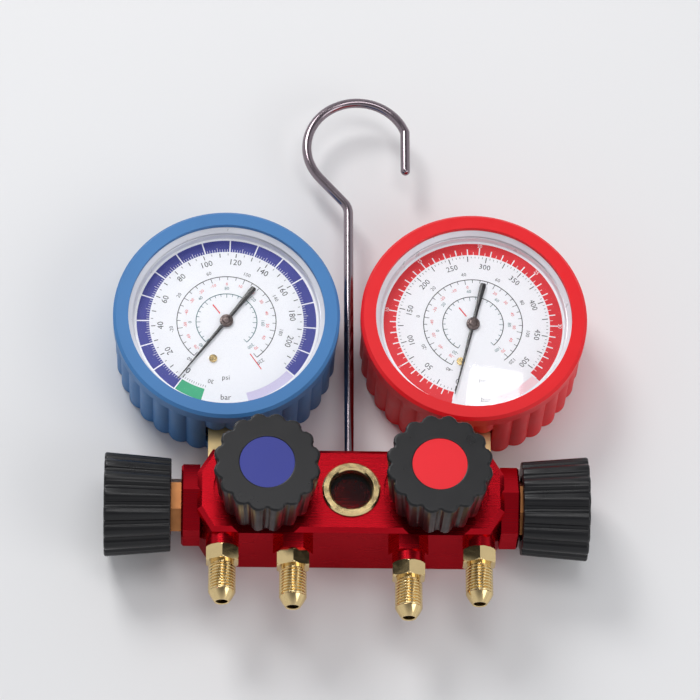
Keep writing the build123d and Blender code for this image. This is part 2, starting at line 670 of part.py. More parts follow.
def hanging_hook():
    """Wire hook with a groove that its set screw runs in."""
    *run, tip = hook_path()
    section = Plane(origin=run[0] @ 0, z_dir=(0, 1, 0)) * Circle(HOOK_WIRE_RADIUS)
    hook = sweep(section, path=Wire(run)) + rod(tip @ 0, tip @ 1, HOOK_WIRE_RADIUS)
    for end in (0, 1):
        hook += Pos(*(tip @ end)) * Sphere(HOOK_WIRE_RADIUS)
    groove_y = BODY_HALF_HEIGHT - HOOK_SOCKET_DEPTH / 2
    half = GRUB_RADIUS + SOFT_CLEARANCE
    groove = rod((0, groove_y - half, HOOK_Z), (0, groove_y + half, HOOK_Z), HOOK_WIRE_RADIUS + 1)
    core = rod(
        (0, groove_y - 2 * half, HOOK_Z),
        (0, groove_y + 2 * half, HOOK_Z),
        HOOK_WIRE_RADIUS - HOOK_GROOVE_DEPTH,
    )
    return hook - (groove - core)


def hook_grub_screw():
    """Set screw from the back that keeps the hook in its socket."""
    grub_y = BODY_HALF_HEIGHT - HOOK_SOCKET_DEPTH / 2
    top = HOOK_Z - HOOK_WIRE_RADIUS + HOOK_GROOVE_DEPTH - SEAT_CLEARANCE
    screw = rod((0, grub_y, 1), (0, grub_y, top), GRUB_RADIUS)
    return screw - Pos(0, grub_y, 0) * hexagon(GRUB_RADIUS, 0, 3)


# ================================================================ gauge pieces, gauge centre at the origin
def boot():
    """Rubber boot: ribbed skirt, smooth front band, lips front and back."""
    crest = BOOT_RADIUS - RIB_INSET - RIB_RADIUS
    step = 360 / BOOT_RIBS
    outline = Sketch() + Circle(crest)
    outline += [Pos(*polar(crest, index * step)) * Circle(RIB_RADIUS) for index in range(BOOT_RIBS)]
    skirt_top = BOOT_HEIGHT - BOOT_BAND_HEIGHT
    shape = extrude(outline, skirt_top)
    shape += turned([
        (0, skirt_top),
        (BOOT_RADIUS, skirt_top),
        (BOOT_RADIUS, BOOT_HEIGHT - BOOT_EDGE),
        (BOOT_RADIUS - BOOT_EDGE, BOOT_HEIGHT),
        (0, BOOT_HEIGHT),
    ])
    back_lip = CASE_BACK_Z - SEAT_CLEARANCE
    cavity_radius = CASE_RADIUS + BEZEL_WALL + SOFT_CLEARANCE
    shape -= ring(cavity_radius, 0, back_lip, BOOT_HEIGHT - BOOT_LIP_THICKNESS)
    shape -= ring(BOOT_OPENING_RADIUS, 0, back_lip, BOOT_HEIGHT + 1)
    shape -= ring(BOOT_BACK_OPENING_RADIUS, 0, -1, back_lip + 1)
    half = STEM_FLATS / 2 + 1
    shape -= block((-half, -BOOT_RADIUS - 1, STEM_Z - half), (half, -BOOT_RADIUS / 2, STEM_Z + half))
    return shape


def gauge_case():
    """Drawn steel cup with a window for the socket."""
    shape = ring(CASE_RADIUS, 0, CASE_BACK_Z, CASE_FRONT_Z)
    shape -= ring(CASE_RADIUS - CASE_WALL, 0, CASE_BACK_Z + CASE_WALL, CASE_FRONT_Z + 1)
    half = STEM_FLATS / 2 + FIT_CLEARANCE
    window_top = SOCKET_BOTTOM_Y + 2
    shape -= block((-half, -CASE_RADIUS - 1, STEM_Z - half), (half, window_top, STEM_Z + half))
    return shape


def bezel():
    """Snap ring with a sloping inner wall over the lens."""
    outer = CASE_RADIUS + BEZEL_WALL
    inner = CASE_RADIUS + FIT_CLEARANCE
    skirt = CASE_FRONT_Z - BEZEL_SKIRT
    lens_top = LENS_Z + LENS_THICKNESS + FIT_CLEARANCE
    top = lens_top + BEZEL_LIP
    return turned([
        (inner, skirt),
        (outer, skirt),
        (outer, top - BEZEL_EDGE),
        (outer - BEZEL_EDGE, top),
        (BOOT_OPENING_RADIUS, top),
        (BEZEL_OPENING_RADIUS, lens_top + SOFT_CLEARANCE),
        (BEZEL_OPENING_RADIUS, lens_top),
        (inner, lens_top),
    ])


def gauge_lens():
    return ring(CASE_RADIUS - 2 * RUNNING_CLEARANCE, 0, LENS_Z, LENS_Z + LENS_THICKNESS)


def dial():
    """Plate centred on the movement's sleeve and held by one screw."""
    plate = ring(DIAL_RADIUS, dial_sleeve_radius() + FIT_CLEARANCE, DIAL_Z, DIAL_Z + DIAL_THICKNESS)
    return plate - screw_hole(DIAL_SCREW_X, DIAL_SCREW_Y, DIAL_Z, DIAL_SCREW_RADIUS)


def dial_sleeve_radius():
    return POINTER_HUB_RADIUS - 0.2


def screw_hole(x, y, z, screw_radius):
    """Clearance hole through a plate at height z."""
    reach = LEDGE_THICKNESS + PLATE_THICKNESS + 1
    return rod((x, y, z - reach), (x, y, z + reach), screw_radius + RUNNING_CLEARANCE)


def tube_band(outer, inner, width, start, end):
    """Arc of a flat band about Z, centred on the stem's height."""
    gap = [(0, 0)]
    for share in (0, 1 / 3, 2 / 3, 1):
        gap.append(polar(2 * outer, start - 360 + (end - start + 360) * share))
    band = Circle(outer) - Circle(inner) - make_face(Polyline(*gap, close=True))
    return extrude(Plane.XY.offset(STEM_Z - width / 2) * band, width)


def gauge_socket():
    """Brass socket: square neck, threaded root, block for the tube, ledge for the movement."""
    half = STEM_FLATS / 2
    body_top = BODY_HALF_HEIGHT - GAUGE_Y
    ledge_z = BOTTOM_PLATE_Z - LEDGE_THICKNESS
    root_end = body_top - STEM_ROOT_LENGTH
    shape = block((-half, body_top + 3, STEM_Z - half), (half, SOCKET_BOTTOM_Y + 1, STEM_Z + half))
    corner = (-SOCKET_HALF_WIDTH, SOCKET_BOTTOM_Y, ledge_z)
    shape += block(corner, (SOCKET_HALF_WIDTH, SOCKET_TOP_Y, SOCKET_TOP_Z))
    shape += block(corner, (SOCKET_HALF_WIDTH, LEDGE_TOP_Y, BOTTOM_PLATE_Z - FIT_CLEARANCE))
    shape += rod((0, root_end, STEM_Z), (0, body_top + 4, STEM_Z), STEM_ROOT_RADIUS)
    outer = TUBE_RADIUS + TUBE_THICKNESS / 2 + FIT_CLEARANCE
    inner = TUBE_RADIUS - TUBE_THICKNESS / 2 - FIT_CLEARANCE
    shape -= tube_band(outer, inner, TUBE_WIDTH + 2 * FIT_CLEARANCE, TUBE_START + 12, TUBE_END)
    shape -= rod((0, root_end - 1, STEM_Z), (0, -TUBE_RADIUS, STEM_Z), DRILL_RADIUS)
    shape -= rod((0, -TUBE_RADIUS, STEM_Z), (-SOCKET_HALF_WIDTH, 1 - TUBE_RADIUS, STEM_Z), DRILL_RADIUS / 2)
    for side in (-1, 1):
        shape -= screw_hole(side * PLATE_SCREW_X, PLATE_SCREW_Y, ledge_z, PLATE_SCREW_RADIUS)
    return shape


def bourdon_tube():
    """Hollow curved tube with the lug and pin that drive the link."""
    outer = TUBE_RADIUS + TUBE_THICKNESS / 2
    inner = TUBE_RADIUS - TUBE_THICKNESS / 2
    tube = tube_band(outer, inner, TUBE_WIDTH, TUBE_START + 10, TUBE_END)
    hollow_width = TUBE_WIDTH - 2 * TUBE_WALL
    tube -= tube_band(outer - TUBE_WALL, inner + TUBE_WALL, hollow_width, TUBE_START + 11, TUBE_END + 2)
    tip_x, tip_y = link_tip()
    lug_top = LINK_Z - FIT_CLEARANCE
    lug_bottom = lug_top - LUG_THICKNESS
    radius = 2 * LINK_PIN_RADIUS
    lug = rod((tip_x, tip_y, lug_bottom), (tip_x, tip_y, lug_top), radius)
    root = Vector(*polar(inner + TUBE_WALL, TUBE_END + 3), lug_bottom)
    across = root - Vector(tip_x, tip_y, lug_bottom)
    arm_plane = Plane((tip_x, tip_y, lug_bottom), x_dir=across, z_dir=(0, 0, 1))
    outline = Pos(across.length / 2, 0) * Rectangle(across.length, 1.6 * radius)
    arm = extrude(arm_plane * outline, LUG_THICKNESS)
    pin_top = LINK_Z + LINK_THICKNESS + 0.6
    return tube + lug + arm + rod((tip_x, tip_y, lug_top), (tip_x, tip_y, pin_top), LINK_PIN_RADIUS)


# ================================================================ gauge movement
def tail_pin():
    """Place of the pin on the sector's tail at rest."""
    x, y = polar(TAIL_LENGTH, TAIL_ANGLE)
    return x, y - CENTRE_DISTANCE


def link_tip():
    """Place of the pin at the tube's tip."""
    return polar(TUBE_RADIUS - TUBE_THICKNESS / 2 - 2, TUBE_END)


def movement_plate(bottom_y, bottom_z):
    """Plate with rounded corners from a lower edge up to PLATE_TOP_Y."""
    outline = RectangleRounded(2 * PLATE_HALF_WIDTH, PLATE_TOP_Y - bottom_y, 3)
    plane = Plane.XY.offset(bottom_z)
    return extrude(plane * Pos(0, (PLATE_TOP_Y + bottom_y) / 2) * outline, PLATE_THICKNESS)


def movement_frame():
    """Two plates joined by riveted pillars, with the dial's post and centring sleeve."""
    frame = movement_plate(SOCKET_TOP_Y + SOFT_CLEARANCE, BOTTOM_PLATE_Z)
    frame += movement_plate(LEDGE_TOP_Y - 2, TOP_PLATE_Z)
    pillars = [(-PILLAR_X, PILLAR_TOP_Y), (PILLAR_X, PILLAR_TOP_Y), (-PILLAR_X, PILLAR_BOTTOM_Y)]
    for x, y in pillars:
        frame += rod((x, y, BOTTOM_PLATE_Z), (x, y, TOP_PLATE_Z + PLATE_THICKNESS), PILLAR_RADIUS)
    post = (DIAL_SCREW_X, DIAL_SCREW_Y)
    frame += rod((*post, TOP_PLATE_Z), (*post, DIAL_Z - FIT_CLEARANCE), POST_RADIUS)
    frame -= rod((*post, DIAL_Z - 4), (*post, DIAL_Z), DIAL_SCREW_RADIUS + FIT_CLEARANCE)
    frame += ring(dial_sleeve_radius(), 0, TOP_PLATE_Z, DIAL_Z + DIAL_THICKNESS)
    for side in (-1, 1):
        frame -= screw_hole(side * PLATE_SCREW_X, PLATE_SCREW_Y, BOTTOM_PLATE_Z, PLATE_SCREW_RADIUS)
    for y in (0, -CENTRE_DISTANCE):
        frame -= rod((0, y, 0), (0, y, POINTER_Z), ARBOR_RADIUS + RUNNING_CLEARANCE)
    return frame


def headed_screw(x, y, bottom, seat, head_height, radius):
    """Screw with its head on a seat."""
    shank = rod((x, y, bottom), (x, y, seat + head_height / 2), radius)
    return shank + rod((x, y, seat + FIT_CLEARANCE), (x, y, seat + head_height), 1.9 * radius)


def gauge_screws():
    """Dial screw and movement screws of one gauge."""
    dial_top = DIAL_Z + DIAL_THICKNESS
    screws = [headed_screw(DIAL_SCREW_X, DIAL_SCREW_Y, DIAL_Z - 3.5, dial_top, 0.6, DIAL_SCREW_RADIUS)]
    for side in (-1, 1):
        x = side * PLATE_SCREW_X
        bottom = BOTTOM_PLATE_Z - LEDGE_THICKNESS
        seat = BOTTOM_PLATE_Z + PLATE_THICKNESS
        screws.append(headed_screw(x, PLATE_SCREW_Y, bottom, seat, 1.2, PLATE_SCREW_RADIUS))
    return screws


def tooth_half_angle(teeth, radius):
    """Half angle of an involute tooth, in degrees, at a radius."""
    pitch_radius = GEAR_MODULE * teeth / 2
    base = pitch_radius * cos(radians(PRESSURE_ANGLE))

    def involute(at):
        if at <= base:
            return 0.0
        roll = sqrt((at / base) ** 2 - 1)
        return roll - atan2(roll, 1)

    half_pitch = pi / (2 * teeth) - GEAR_BACKLASH / pitch_radius
    return degrees(half_pitch + involute(pitch_radius) - involute(radius))


def tooth(teeth, addendum):
    """One tooth pointing along +X, with its foot sunk in the rim."""
    pitch_radius = GEAR_MODULE * teeth / 2
    root = gear_root(teeth)
    tip = pitch_radius + addendum * GEAR_MODULE
    radii = [root - 0.15, root, (root + pitch_radius) / 2, pitch_radius, (pitch_radius + tip) / 2, tip]
    upper = [polar(radius, tooth_half_angle(teeth, max(radius, root))) for radius in radii]
    lower = [(x, -y) for x, y in reversed(upper)]
    return make_face(Polyline(*upper, *lower, close=True))


def gear_root(teeth):
    """Root radius of a gear."""
    return GEAR_MODULE * (teeth / 2 - 1.2)


def pointer_arbor():
    """Pinion on the pointer's arbor; a tooth gap faces the sector."""
    step = 360 / PINION_TEETH
    blank = Sketch() + Circle(gear_root(PINION_TEETH))
    places = [(index + 0.5) * step - 90 for index in range(PINION_TEETH)]
    blank += [Rot(0, 0, place) * tooth(PINION_TEETH, 0.9) for place in places]
    pinion = extrude(Plane.XY.offset(GEAR_Z - 1) * blank, GEAR_THICKNESS + 2)
    arbor_top = POINTER_Z + POINTER_THICKNESS + 0.5
    return pinion + rod((0, 0, BOTTOM_PLATE_Z), (0, 0, arbor_top), ARBOR_RADIUS)


def sector_gear():
    """Toothed sector with its tail, turned to its resting place."""
    root = gear_root(SECTOR_TEETH)
    step = 360 / SECTOR_TEETH
    half = SECTOR_CUT_ANGLE + step / 2
    edge = 2 * root * tan(radians(half))
    wedge = make_face(Polyline((0, 0), (2 * root, -edge), (2 * root, edge), close=True))
    blank = Sketch() + ((Circle(root) - Circle(root - SECTOR_RIM)) & wedge)
    places = [index * step - SECTOR_REST_ANGLE for index in range(-SECTOR_TEETH // 2, SECTOR_TEETH // 2)]
    cut_places = [place for place in places if abs(place) <= SECTOR_CUT_ANGLE]
    blank += [Rot(0, 0, place) * tooth(SECTOR_TEETH, 0.7) for place in cut_places]
    for arm_angle in (4 - half, half - 4):
        blank += Rot(0, 0, arm_angle) * Pos(root / 2, 0) * Rectangle(root - 1, SECTOR_ARM_WIDTH)
    blank += Circle(SECTOR_HUB_RADIUS)
    tail_angle = TAIL_ANGLE - 90 - SECTOR_REST_ANGLE
    tail = Pos(TAIL_LENGTH / 2, 0) * Rectangle(TAIL_LENGTH, LINK_WIDTH)
    tail += Pos(TAIL_LENGTH, 0) * Circle(LINK_WIDTH / 2)
    blank += Rot(0, 0, tail_angle) * tail
    gear = extrude(Plane.XY.offset(GEAR_Z) * blank, GEAR_THICKNESS)
    gear += rod((0, 0, BOTTOM_PLATE_Z), (0, 0, TOP_PLATE_Z + PLATE_THICKNESS), ARBOR_RADIUS)
    pin = polar(TAIL_LENGTH, tail_angle)
    gear += rod((*pin, GEAR_Z), (*pin, LINK_Z + LINK_THICKNESS + 0.6), LINK_PIN_RADIUS)
    return Pos(0, -CENTRE_DISTANCE, 0) * Rot(0, 0, 90 + SECTOR_REST_ANGLE) * gear


def link():
    """Flat link from the sector's tail to the tube's tip."""
    start = Vector(*tail_pin(), LINK_Z)
    span = Vector(*link_tip(), LINK_Z) - start
    outline = Pos(span.length / 2, 0) * SlotCenterToCenter(span.length, LINK_WIDTH)
    for x in (0, span.length):
        outline -= Pos(x, 0) * Circle(LINK_PIN_RADIUS + RUNNING_CLEARANCE)
    return extrude(Plane(start, x_dir=span, z_dir=(0, 0, 1)) * outline, LINK_THICKNESS)


def pointer(rest_angle):
    """Tapered pointer with a broad tail, turned to its resting place."""
    upper = [
        (POINTER_TIP, POINTER_TIP_HALF_WIDTH),
        (POINTER_HUB_RADIUS - 0.5, POINTER_ROOT_HALF_WIDTH),
        (-POINTER_TAIL, POINTER_TAIL_HALF_WIDTH),
    ]
    lower = [(x, -y) for x, y in reversed(upper)]
    blade = make_face(Polyline(*upper, *lower, close=True)) + Circle(POINTER_HUB_RADIUS)
    shape = extrude(Plane.XY.offset(POINTER_Z) * blade, POINTER_THICKNESS)
    hub_bottom = DIAL_Z + DIAL_THICKNESS + 0.2
    shape += ring(POINTER_HUB_RADIUS - 0.6, 0, hub_bottom, POINTER_Z + 2 * POINTER_THICKNESS)
    shape -= ring(ARBOR_RADIUS + FIT_CLEARANCE, 0, 0, POINTER_Z + POINTER_THICKNESS + 0.5)
    return Rot(0, 0, rest_angle) * shape


# ================================================================ write every node
def write_body():
    save("manifold_body", manifold_body())
    save("gallery_plugs", *gallery_plugs())
    save("sight_glass_bezel", sight_bezel())
    save("sight_glass_lens", sight_lens())
    save("sight_glass_o_ring", sight_o_ring())
    save("hanging_hook", hanging_hook())
    save("hook_grub_screw", hook_grub_screw())


def write_valves():
    for name, plane in VALVE_PLANES.items():
        lift = REST_TURNS_OPEN[name] * STEM_PITCH
        save(f"{name}_bonnet", plane * bonnet())
        save(f"{name}_plunger", *[plane * piece for piece in plunger(lift)])
        save(f"{name}_stem", *[plane * piece for piece in stem(lift)])
        save(f"{name}_handwheel", plane * handwheel(lift))
        save(f"{name}_handwheel_cap", plane * wheel_cap(lift))
    save("stem_o_rings", *[plane * stem_o_ring() for plane in VALVE_PLANES.values()])


def write_ports():
    for name in PORT_PLACES:
        save(f"{name}_port", port_fitting(name))
    for name in INNER_PORTS:
        save(f"{name}_port_collar", port_collar(name))


def write_gauges():
    screws = []
    for name, x in (("low_side", -GAUGE_X), ("high_side", GAUGE_X)):
        place = Pos(x, GAUGE_Y, 0)
        save(f"{name}_gauge_boot", place * boot())
        save(f"{name}_gauge_case", place * gauge_case())
        save(f"{name}_gauge_bezel", place * bezel())
        save(f"{name}_gauge_lens", place * gauge_lens())
        save(f"{name}_dial", place * dial())
        save(f"{name}_gauge_socket", place * gauge_socket())
        save(f"{name}_bourdon_tube", place * bourdon_tube())
        save(f"{name}_movement_frame", place * movement_frame())
        save(f"{name}_pointer_arbor", place * pointer_arbor())
        save(f"{name}_sector_gear", place * sector_gear())
        save(f"{name}_link", place * link())
        save(f"{name}_pointer", place * pointer(REST_ANGLES[name]))
        screws += [place * screw for screw in gauge_screws()]
    save("gauge_screws", *screws)


write_body()
write_valves()
write_ports()
write_gauges()
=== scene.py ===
"""Looks of the refrigerant manifold gauge: materials, dial printing, threads, light and camera."""
from math import atan2, ceil, cos, pi, radians, sin, sqrt

import bpy
from mathutils import Matrix, Vector


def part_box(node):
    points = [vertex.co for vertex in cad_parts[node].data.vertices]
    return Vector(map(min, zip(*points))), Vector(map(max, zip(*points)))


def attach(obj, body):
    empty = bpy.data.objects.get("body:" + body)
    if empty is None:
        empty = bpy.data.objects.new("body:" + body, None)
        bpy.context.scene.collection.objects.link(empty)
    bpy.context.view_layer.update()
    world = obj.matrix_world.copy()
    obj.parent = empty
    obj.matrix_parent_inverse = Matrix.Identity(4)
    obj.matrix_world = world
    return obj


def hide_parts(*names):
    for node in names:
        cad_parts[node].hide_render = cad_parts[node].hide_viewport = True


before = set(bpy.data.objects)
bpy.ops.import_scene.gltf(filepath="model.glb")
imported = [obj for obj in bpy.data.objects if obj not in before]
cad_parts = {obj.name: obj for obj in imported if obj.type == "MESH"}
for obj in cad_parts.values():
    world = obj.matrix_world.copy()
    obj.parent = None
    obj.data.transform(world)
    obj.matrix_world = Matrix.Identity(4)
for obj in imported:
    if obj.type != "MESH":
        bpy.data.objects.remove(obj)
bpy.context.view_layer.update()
MM = 0.001


# ---------------------------------------------------------------- materials
def srgb(red, green, blue):
    """Linear colour from 0-255 sRGB values."""
    def linear(value):
        value /= 255
        return value / 12.92 if value <= 0.04045 else ((value + 0.055) / 1.055) ** 2.4
    return (linear(red), linear(green), linear(blue), 1.0)


def shade(colour, factor):
    return tuple(channel * factor for channel in colour[:3]) + (1.0,)


NOISE_LOW = 0.3
NOISE_HIGH = 0.7
COLOUR_DETAIL = 4.0
ROUGHNESS_DETAIL = 5.0
SMOOTHEST = 0.02
EDGE_START = 0.52
EDGE_FULL = 0.62


class Finish:
    """A material under construction: one Principled shader with its node helpers."""

    def __init__(self, name, colour, roughness, metallic=0.0):
        self.material = bpy.data.materials.new(name)
        self.material.use_nodes = True
        self.nodes = self.material.node_tree.nodes
        self.links = self.material.node_tree.links
        self.shader = self.nodes["Principled BSDF"]
        self.shader.inputs["Base Color"].default_value = colour
        self.shader.inputs["Roughness"].default_value = roughness
        self.shader.inputs["Metallic"].default_value = metallic
        self.colour = colour
        self.roughness = roughness
        self.coordinates = self.nodes.new("ShaderNodeTexCoord")
        self.heights = []

    def noise(self, scale, detail=3.0, stretch=(1, 1, 1)):
        """Noise in the object's own metres; scale is in cells per metre."""
        mapping = self.nodes.new("ShaderNodeMapping")
        mapping.inputs["Scale"].default_value = stretch
        texture = self.nodes.new("ShaderNodeTexNoise")
        texture.inputs["Scale"].default_value = scale
        texture.inputs["Detail"].default_value = detail
        self.links.new(self.coordinates.outputs["Object"], mapping.inputs["Vector"])
        self.links.new(mapping.outputs["Vector"], texture.inputs["Vector"])
        return texture.outputs["Fac"]

    def ramp(self, value, low, high, low_colour, high_colour):
        node = self.nodes.new("ShaderNodeValToRGB")
        node.color_ramp.elements[0].position = low
        node.color_ramp.elements[1].position = high
        node.color_ramp.elements[0].color = low_colour
        node.color_ramp.elements[1].color = high_colour
        self.links.new(value, node.inputs["Fac"])
        return node.outputs["Color"]

    def vary_colour(self, scale, amount, stretch=(1, 1, 1)):
        """Slow lightening and darkening of the base colour."""
        field = self.noise(scale, COLOUR_DETAIL, stretch)
        darker, lighter = shade(self.colour, 1 - amount), shade(self.colour, 1 + amount)
        mixed = self.ramp(field, NOISE_LOW, NOISE_HIGH, darker, lighter)
        self.links.new(mixed, self.shader.inputs["Base Color"])

    def vary_roughness(self, scale, amount, stretch=(1, 1, 1)):
        """Patches a little smoother and rougher than the finish's own roughness."""
        field = self.noise(scale, ROUGHNESS_DETAIL, stretch)
        node = self.nodes.new("ShaderNodeMapRange")
        node.inputs["From Min"].default_value = NOISE_LOW
        node.inputs["From Max"].default_value = NOISE_HIGH
        node.inputs["To Min"].default_value = max(self.roughness - amount, SMOOTHEST)
        node.inputs["To Max"].default_value = self.roughness + amount
        self.links.new(field, node.inputs["Value"])
        self.links.new(node.outputs["Result"], self.shader.inputs["Roughness"])

    def bump(self, field, distance, strength=1.0):
        """Adds a height field of that depth in metres; later ones ride on earlier ones."""
        node = self.nodes.new("ShaderNodeBump")
        node.inputs["Distance"].default_value = distance
        node.inputs["Strength"].default_value = strength
        self.links.new(field, node.inputs["Height"])
        if self.heights:
            self.links.new(self.heights[-1], node.inputs["Normal"])
        self.heights.append(node.outputs["Normal"])
        self.links.new(node.outputs["Normal"], self.shader.inputs["Normal"])

    def worn_edges(self, colour, amount):
        """Edges rubbed lighter, from the mesh's own convexity."""
        geometry = self.nodes.new("ShaderNodeNewGeometry")
        base_link = self.shader.inputs["Base Color"].links
        none, most = (0, 0, 0, 1), (amount, amount, amount, 1)
        edge = self.ramp(geometry.outputs["Pointiness"], EDGE_START, EDGE_FULL, none, most)
        mix = self.nodes.new("ShaderNodeMix")
        mix.data_type = "RGBA"
        self.links.new(edge, mix.inputs["Factor"])
        if base_link:
            self.links.new(base_link[0].from_socket, mix.inputs["A"])
        else:
            mix.inputs["A"].default_value = self.colour
        mix.inputs["B"].default_value = colour
        self.links.new(mix.outputs["Result"], self.shader.inputs["Base Color"])


def anodised_red():
    """Dyed anodising over turned and milled aluminium, with faint tool lines."""
    finish = Finish("red_anodised", srgb(174, 14, 28), roughness=0.26, metallic=0.88)
    finish.shader.inputs["Specular Tint"].default_value = srgb(255, 176, 184)
    finish.vary_colour(scale=35, amount=0.06)
    finish.vary_roughness(scale=160, amount=0.03, stretch=(0.3, 9, 1))
    finish.bump(finish.noise(scale=420, stretch=(0.12, 6, 1)), distance=0.008 * MM, strength=0.25)
    return finish.material


def brass(name="brass", roughness=0.17, colour=srgb(226, 200, 146)):
    finish = Finish(name, colour, roughness, metallic=1.0)
    finish.vary_colour(scale=90, amount=0.07)
    finish.vary_roughness(scale=400, amount=0.06)
    finish.bump(finish.noise(scale=1400), distance=0.006 * MM, strength=0.4)
    return finish.material


def steel(name, colour, roughness):
    finish = Finish(name, colour, roughness, metallic=1.0)
    finish.vary_colour(scale=70, amount=0.05)
    finish.vary_roughness(scale=300, amount=0.06, stretch=(1, 0.2, 1))
    finish.bump(finish.noise(scale=1500), distance=0.006 * MM, strength=0.3)
    return finish.material


def satin_white(name, colour):
    """Pale satin plating of the gauge bezels and the rings inside them."""
    finish = Finish(name, colour, roughness=0.32, metallic=0.25)
    finish.shader.inputs["Coat Weight"].default_value = 0.4
    finish.vary_colour(scale=120, amount=0.02)
    finish.vary_roughness(scale=240, amount=0.05)
    finish.bump(finish.noise(scale=1500), distance=0.004 * MM, strength=0.3)
    return finish.material


def moulded(name, colour, roughness, grain=0.03 * MM):
    """Moulded plastic or rubber with a fine grain and slightly rubbed edges."""
    finish = Finish(name, colour, roughness)
    finish.shader.inputs["Specular IOR Level"].default_value = 0.35
    finish.vary_colour(scale=40, amount=0.05)
    finish.vary_roughness(scale=160, amount=0.05)
    finish.bump(finish.noise(scale=260), distance=grain, strength=0.25)
    finish.bump(finish.noise(scale=1500), distance=grain, strength=0.5)
    finish.worn_edges(shade(colour, 1.4), amount=0.3)
    return finish.material


def paint(name, colour, roughness=0.5):
    """Printing ink or flat paint on the dials."""
    finish = Finish(name, colour, roughness)
    finish.vary_colour(scale=900, amount=0.015)
    finish.bump(finish.noise(scale=3000, detail=2.0), distance=0.003 * MM, strength=0.3)
    return finish.material


def clear(name, colour=(1, 1, 1, 1), index=1.3):
    """Clear lens; index is the index of refraction."""
    finish = Finish(name, colour, roughness=0.02)
    finish.shader.inputs["Transmission Weight"].default_value = 1.0
    finish.shader.inputs["IOR"].default_value = index
    finish.vary_roughness(scale=80, amount=0.005)
    return finish.material


CAP_GRAIN = 0.006 * MM

RED_ANODISED = anodised_red()
BRASS = brass()
SATIN_BRASS = brass("satin_brass", 0.42)
# dark orange-brown valve bonnet brass: painted shade and painted reflection of the red body
SHADED_BONNET_BRASS = brass("bonnet_brass_painted_shade", 0.36, srgb(166, 112, 70))
HUB_BRONZE = steel("pointer_hub", srgb(86, 76, 74), 0.4)
SPACER_WHITE = satin_white("spacer_white", srgb(228, 230, 236))
# steel grey, darkened and tinted pink: painted reflection of dark red surroundings
STEEL_PAINTED_REFLECTION = steel("hook_steel", srgb(142, 130, 136), 0.16)
BRIGHT = steel("case_steel", srgb(226, 226, 228), 0.28)
BEZEL_WHITE = satin_white("bezel_white", srgb(236, 237, 243))
BLACK_PLASTIC = moulded("black_plastic", srgb(19, 19, 21), 0.32)
BLUE_PLASTIC = moulded("blue_plastic", srgb(44, 52, 136), 0.42, CAP_GRAIN)
RED_PLASTIC = moulded("red_plastic", srgb(224, 16, 32), 0.42, CAP_GRAIN)
BLUE_RUBBER = moulded("blue_rubber", srgb(61, 118, 174), 0.42)
RED_RUBBER = moulded("red_rubber", srgb(220, 12, 24), 0.42)
BLACK_RUBBER = moulded("black_rubber", srgb(30, 30, 30), 0.6)
CLEAR = clear("clear_lens")
# the sight glass lens is tinted to darken the chamber seen through it: painted shade
SIGHT_LENS_SHADE_TINT = clear("sight_lens", srgb(206, 188, 182), 1.4)
DIAL_WHITE = paint("dial_white", srgb(243, 244, 248), 0.35)
INK_BLACK = paint("ink_black", srgb(22, 22, 26))
INK_BLUE = paint("ink_blue", srgb(38, 46, 138))
INK_RED = paint("ink_red", srgb(218, 16, 32))
INK_GREEN = paint("ink_green", srgb(40, 164, 116))
INK_TEAL = paint("ink_teal", srgb(44, 96, 102))
INK_LILAC = paint("ink_lilac", srgb(214, 206, 234))
INK_PINK = paint("ink_pink", srgb(248, 214, 220))
INK_WHITE = paint("ink_white", srgb(246, 246, 250))
POINTER_BLACK = paint("pointer_black", srgb(24, 22, 24), 0.4)


def node_material(node):
    """The finish of a carried-over CAD node."""
    if node == "manifold_body" or node.endswith("port_collar"):
        return RED_ANODISED
    if node.endswith("_handwheel") or node in ("vacuum_handwheel_cap", "charging_handwheel_cap"):
        return BLACK_PLASTIC
    by_ending = {
        "low_side_handwheel_cap": BLUE_PLASTIC, "high_side_handwheel_cap": RED_PLASTIC,
        "low_side_gauge_boot": BLUE_RUBBER, "high_side_gauge_boot": RED_RUBBER,
        "o_ring": BLACK_RUBBER, "o_rings": BLACK_RUBBER, "_dial": DIAL_WHITE,
        "sight_glass_lens": SIGHT_LENS_SHADE_TINT, "gauge_lens": CLEAR,
        "_pointer": POINTER_BLACK, "_case": BRIGHT, "_gauge_bezel": BEZEL_WHITE, "_stem": STEEL_PAINTED_REFLECTION,
        "hanging_hook": STEEL_PAINTED_REFLECTION, "grub_screw": STEEL_PAINTED_REFLECTION, "_gauge_socket": SATIN_BRASS,
        "_bonnet": SHADED_BONNET_BRASS,
    }
    for ending, material in by_ending.items():
        if node.endswith(ending):
            return material
    return BRASS


for node_name, node_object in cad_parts.items():
    node_object.data.materials.clear()
    node_object.data.materials.append(node_material(node_name))
    if node_name.endswith("gauge_lens"):
        node_object.visible_shadow = False
        node_object.visible_diffuse = False


# ---------------------------------------------------------------- mesh helpers
SHARP_ANGLE = radians(32)


def mesh_object(name, vertices, faces, material, body):
    """A mesh piece that rides on a body."""
    mesh = bpy.data.meshes.new(name)
    mesh.from_pydata(vertices, [], faces)
    mesh.update()
    piece = bpy.data.objects.new(name, mesh)
    bpy.context.scene.collection.objects.link(piece)
    piece.data.materials.append(material)
    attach(piece, body)
    return piece


def closed_tube(name, rings, material, body):
    """Mesh whose rings of points, joined in turn and last to first, make a closed skin."""
    count = len(rings[0])
    vertices = [point for ring in rings for point in ring]
    faces = []
    for row in range(len(rings)):
        a, b = row * count, (row + 1) % len(rings) * count
        for index in range(count):
            beside = (index + 1) % count
            faces.append((a + index, a + beside, b + beside, b + index))
    piece = mesh_object(name, vertices, faces, material, body)
    piece.data.validate()
    for polygon in piece.data.polygons:
        polygon.use_smooth = True
    piece.data.set_sharp_from_angle(angle=SHARP_ANGLE)
    return piece


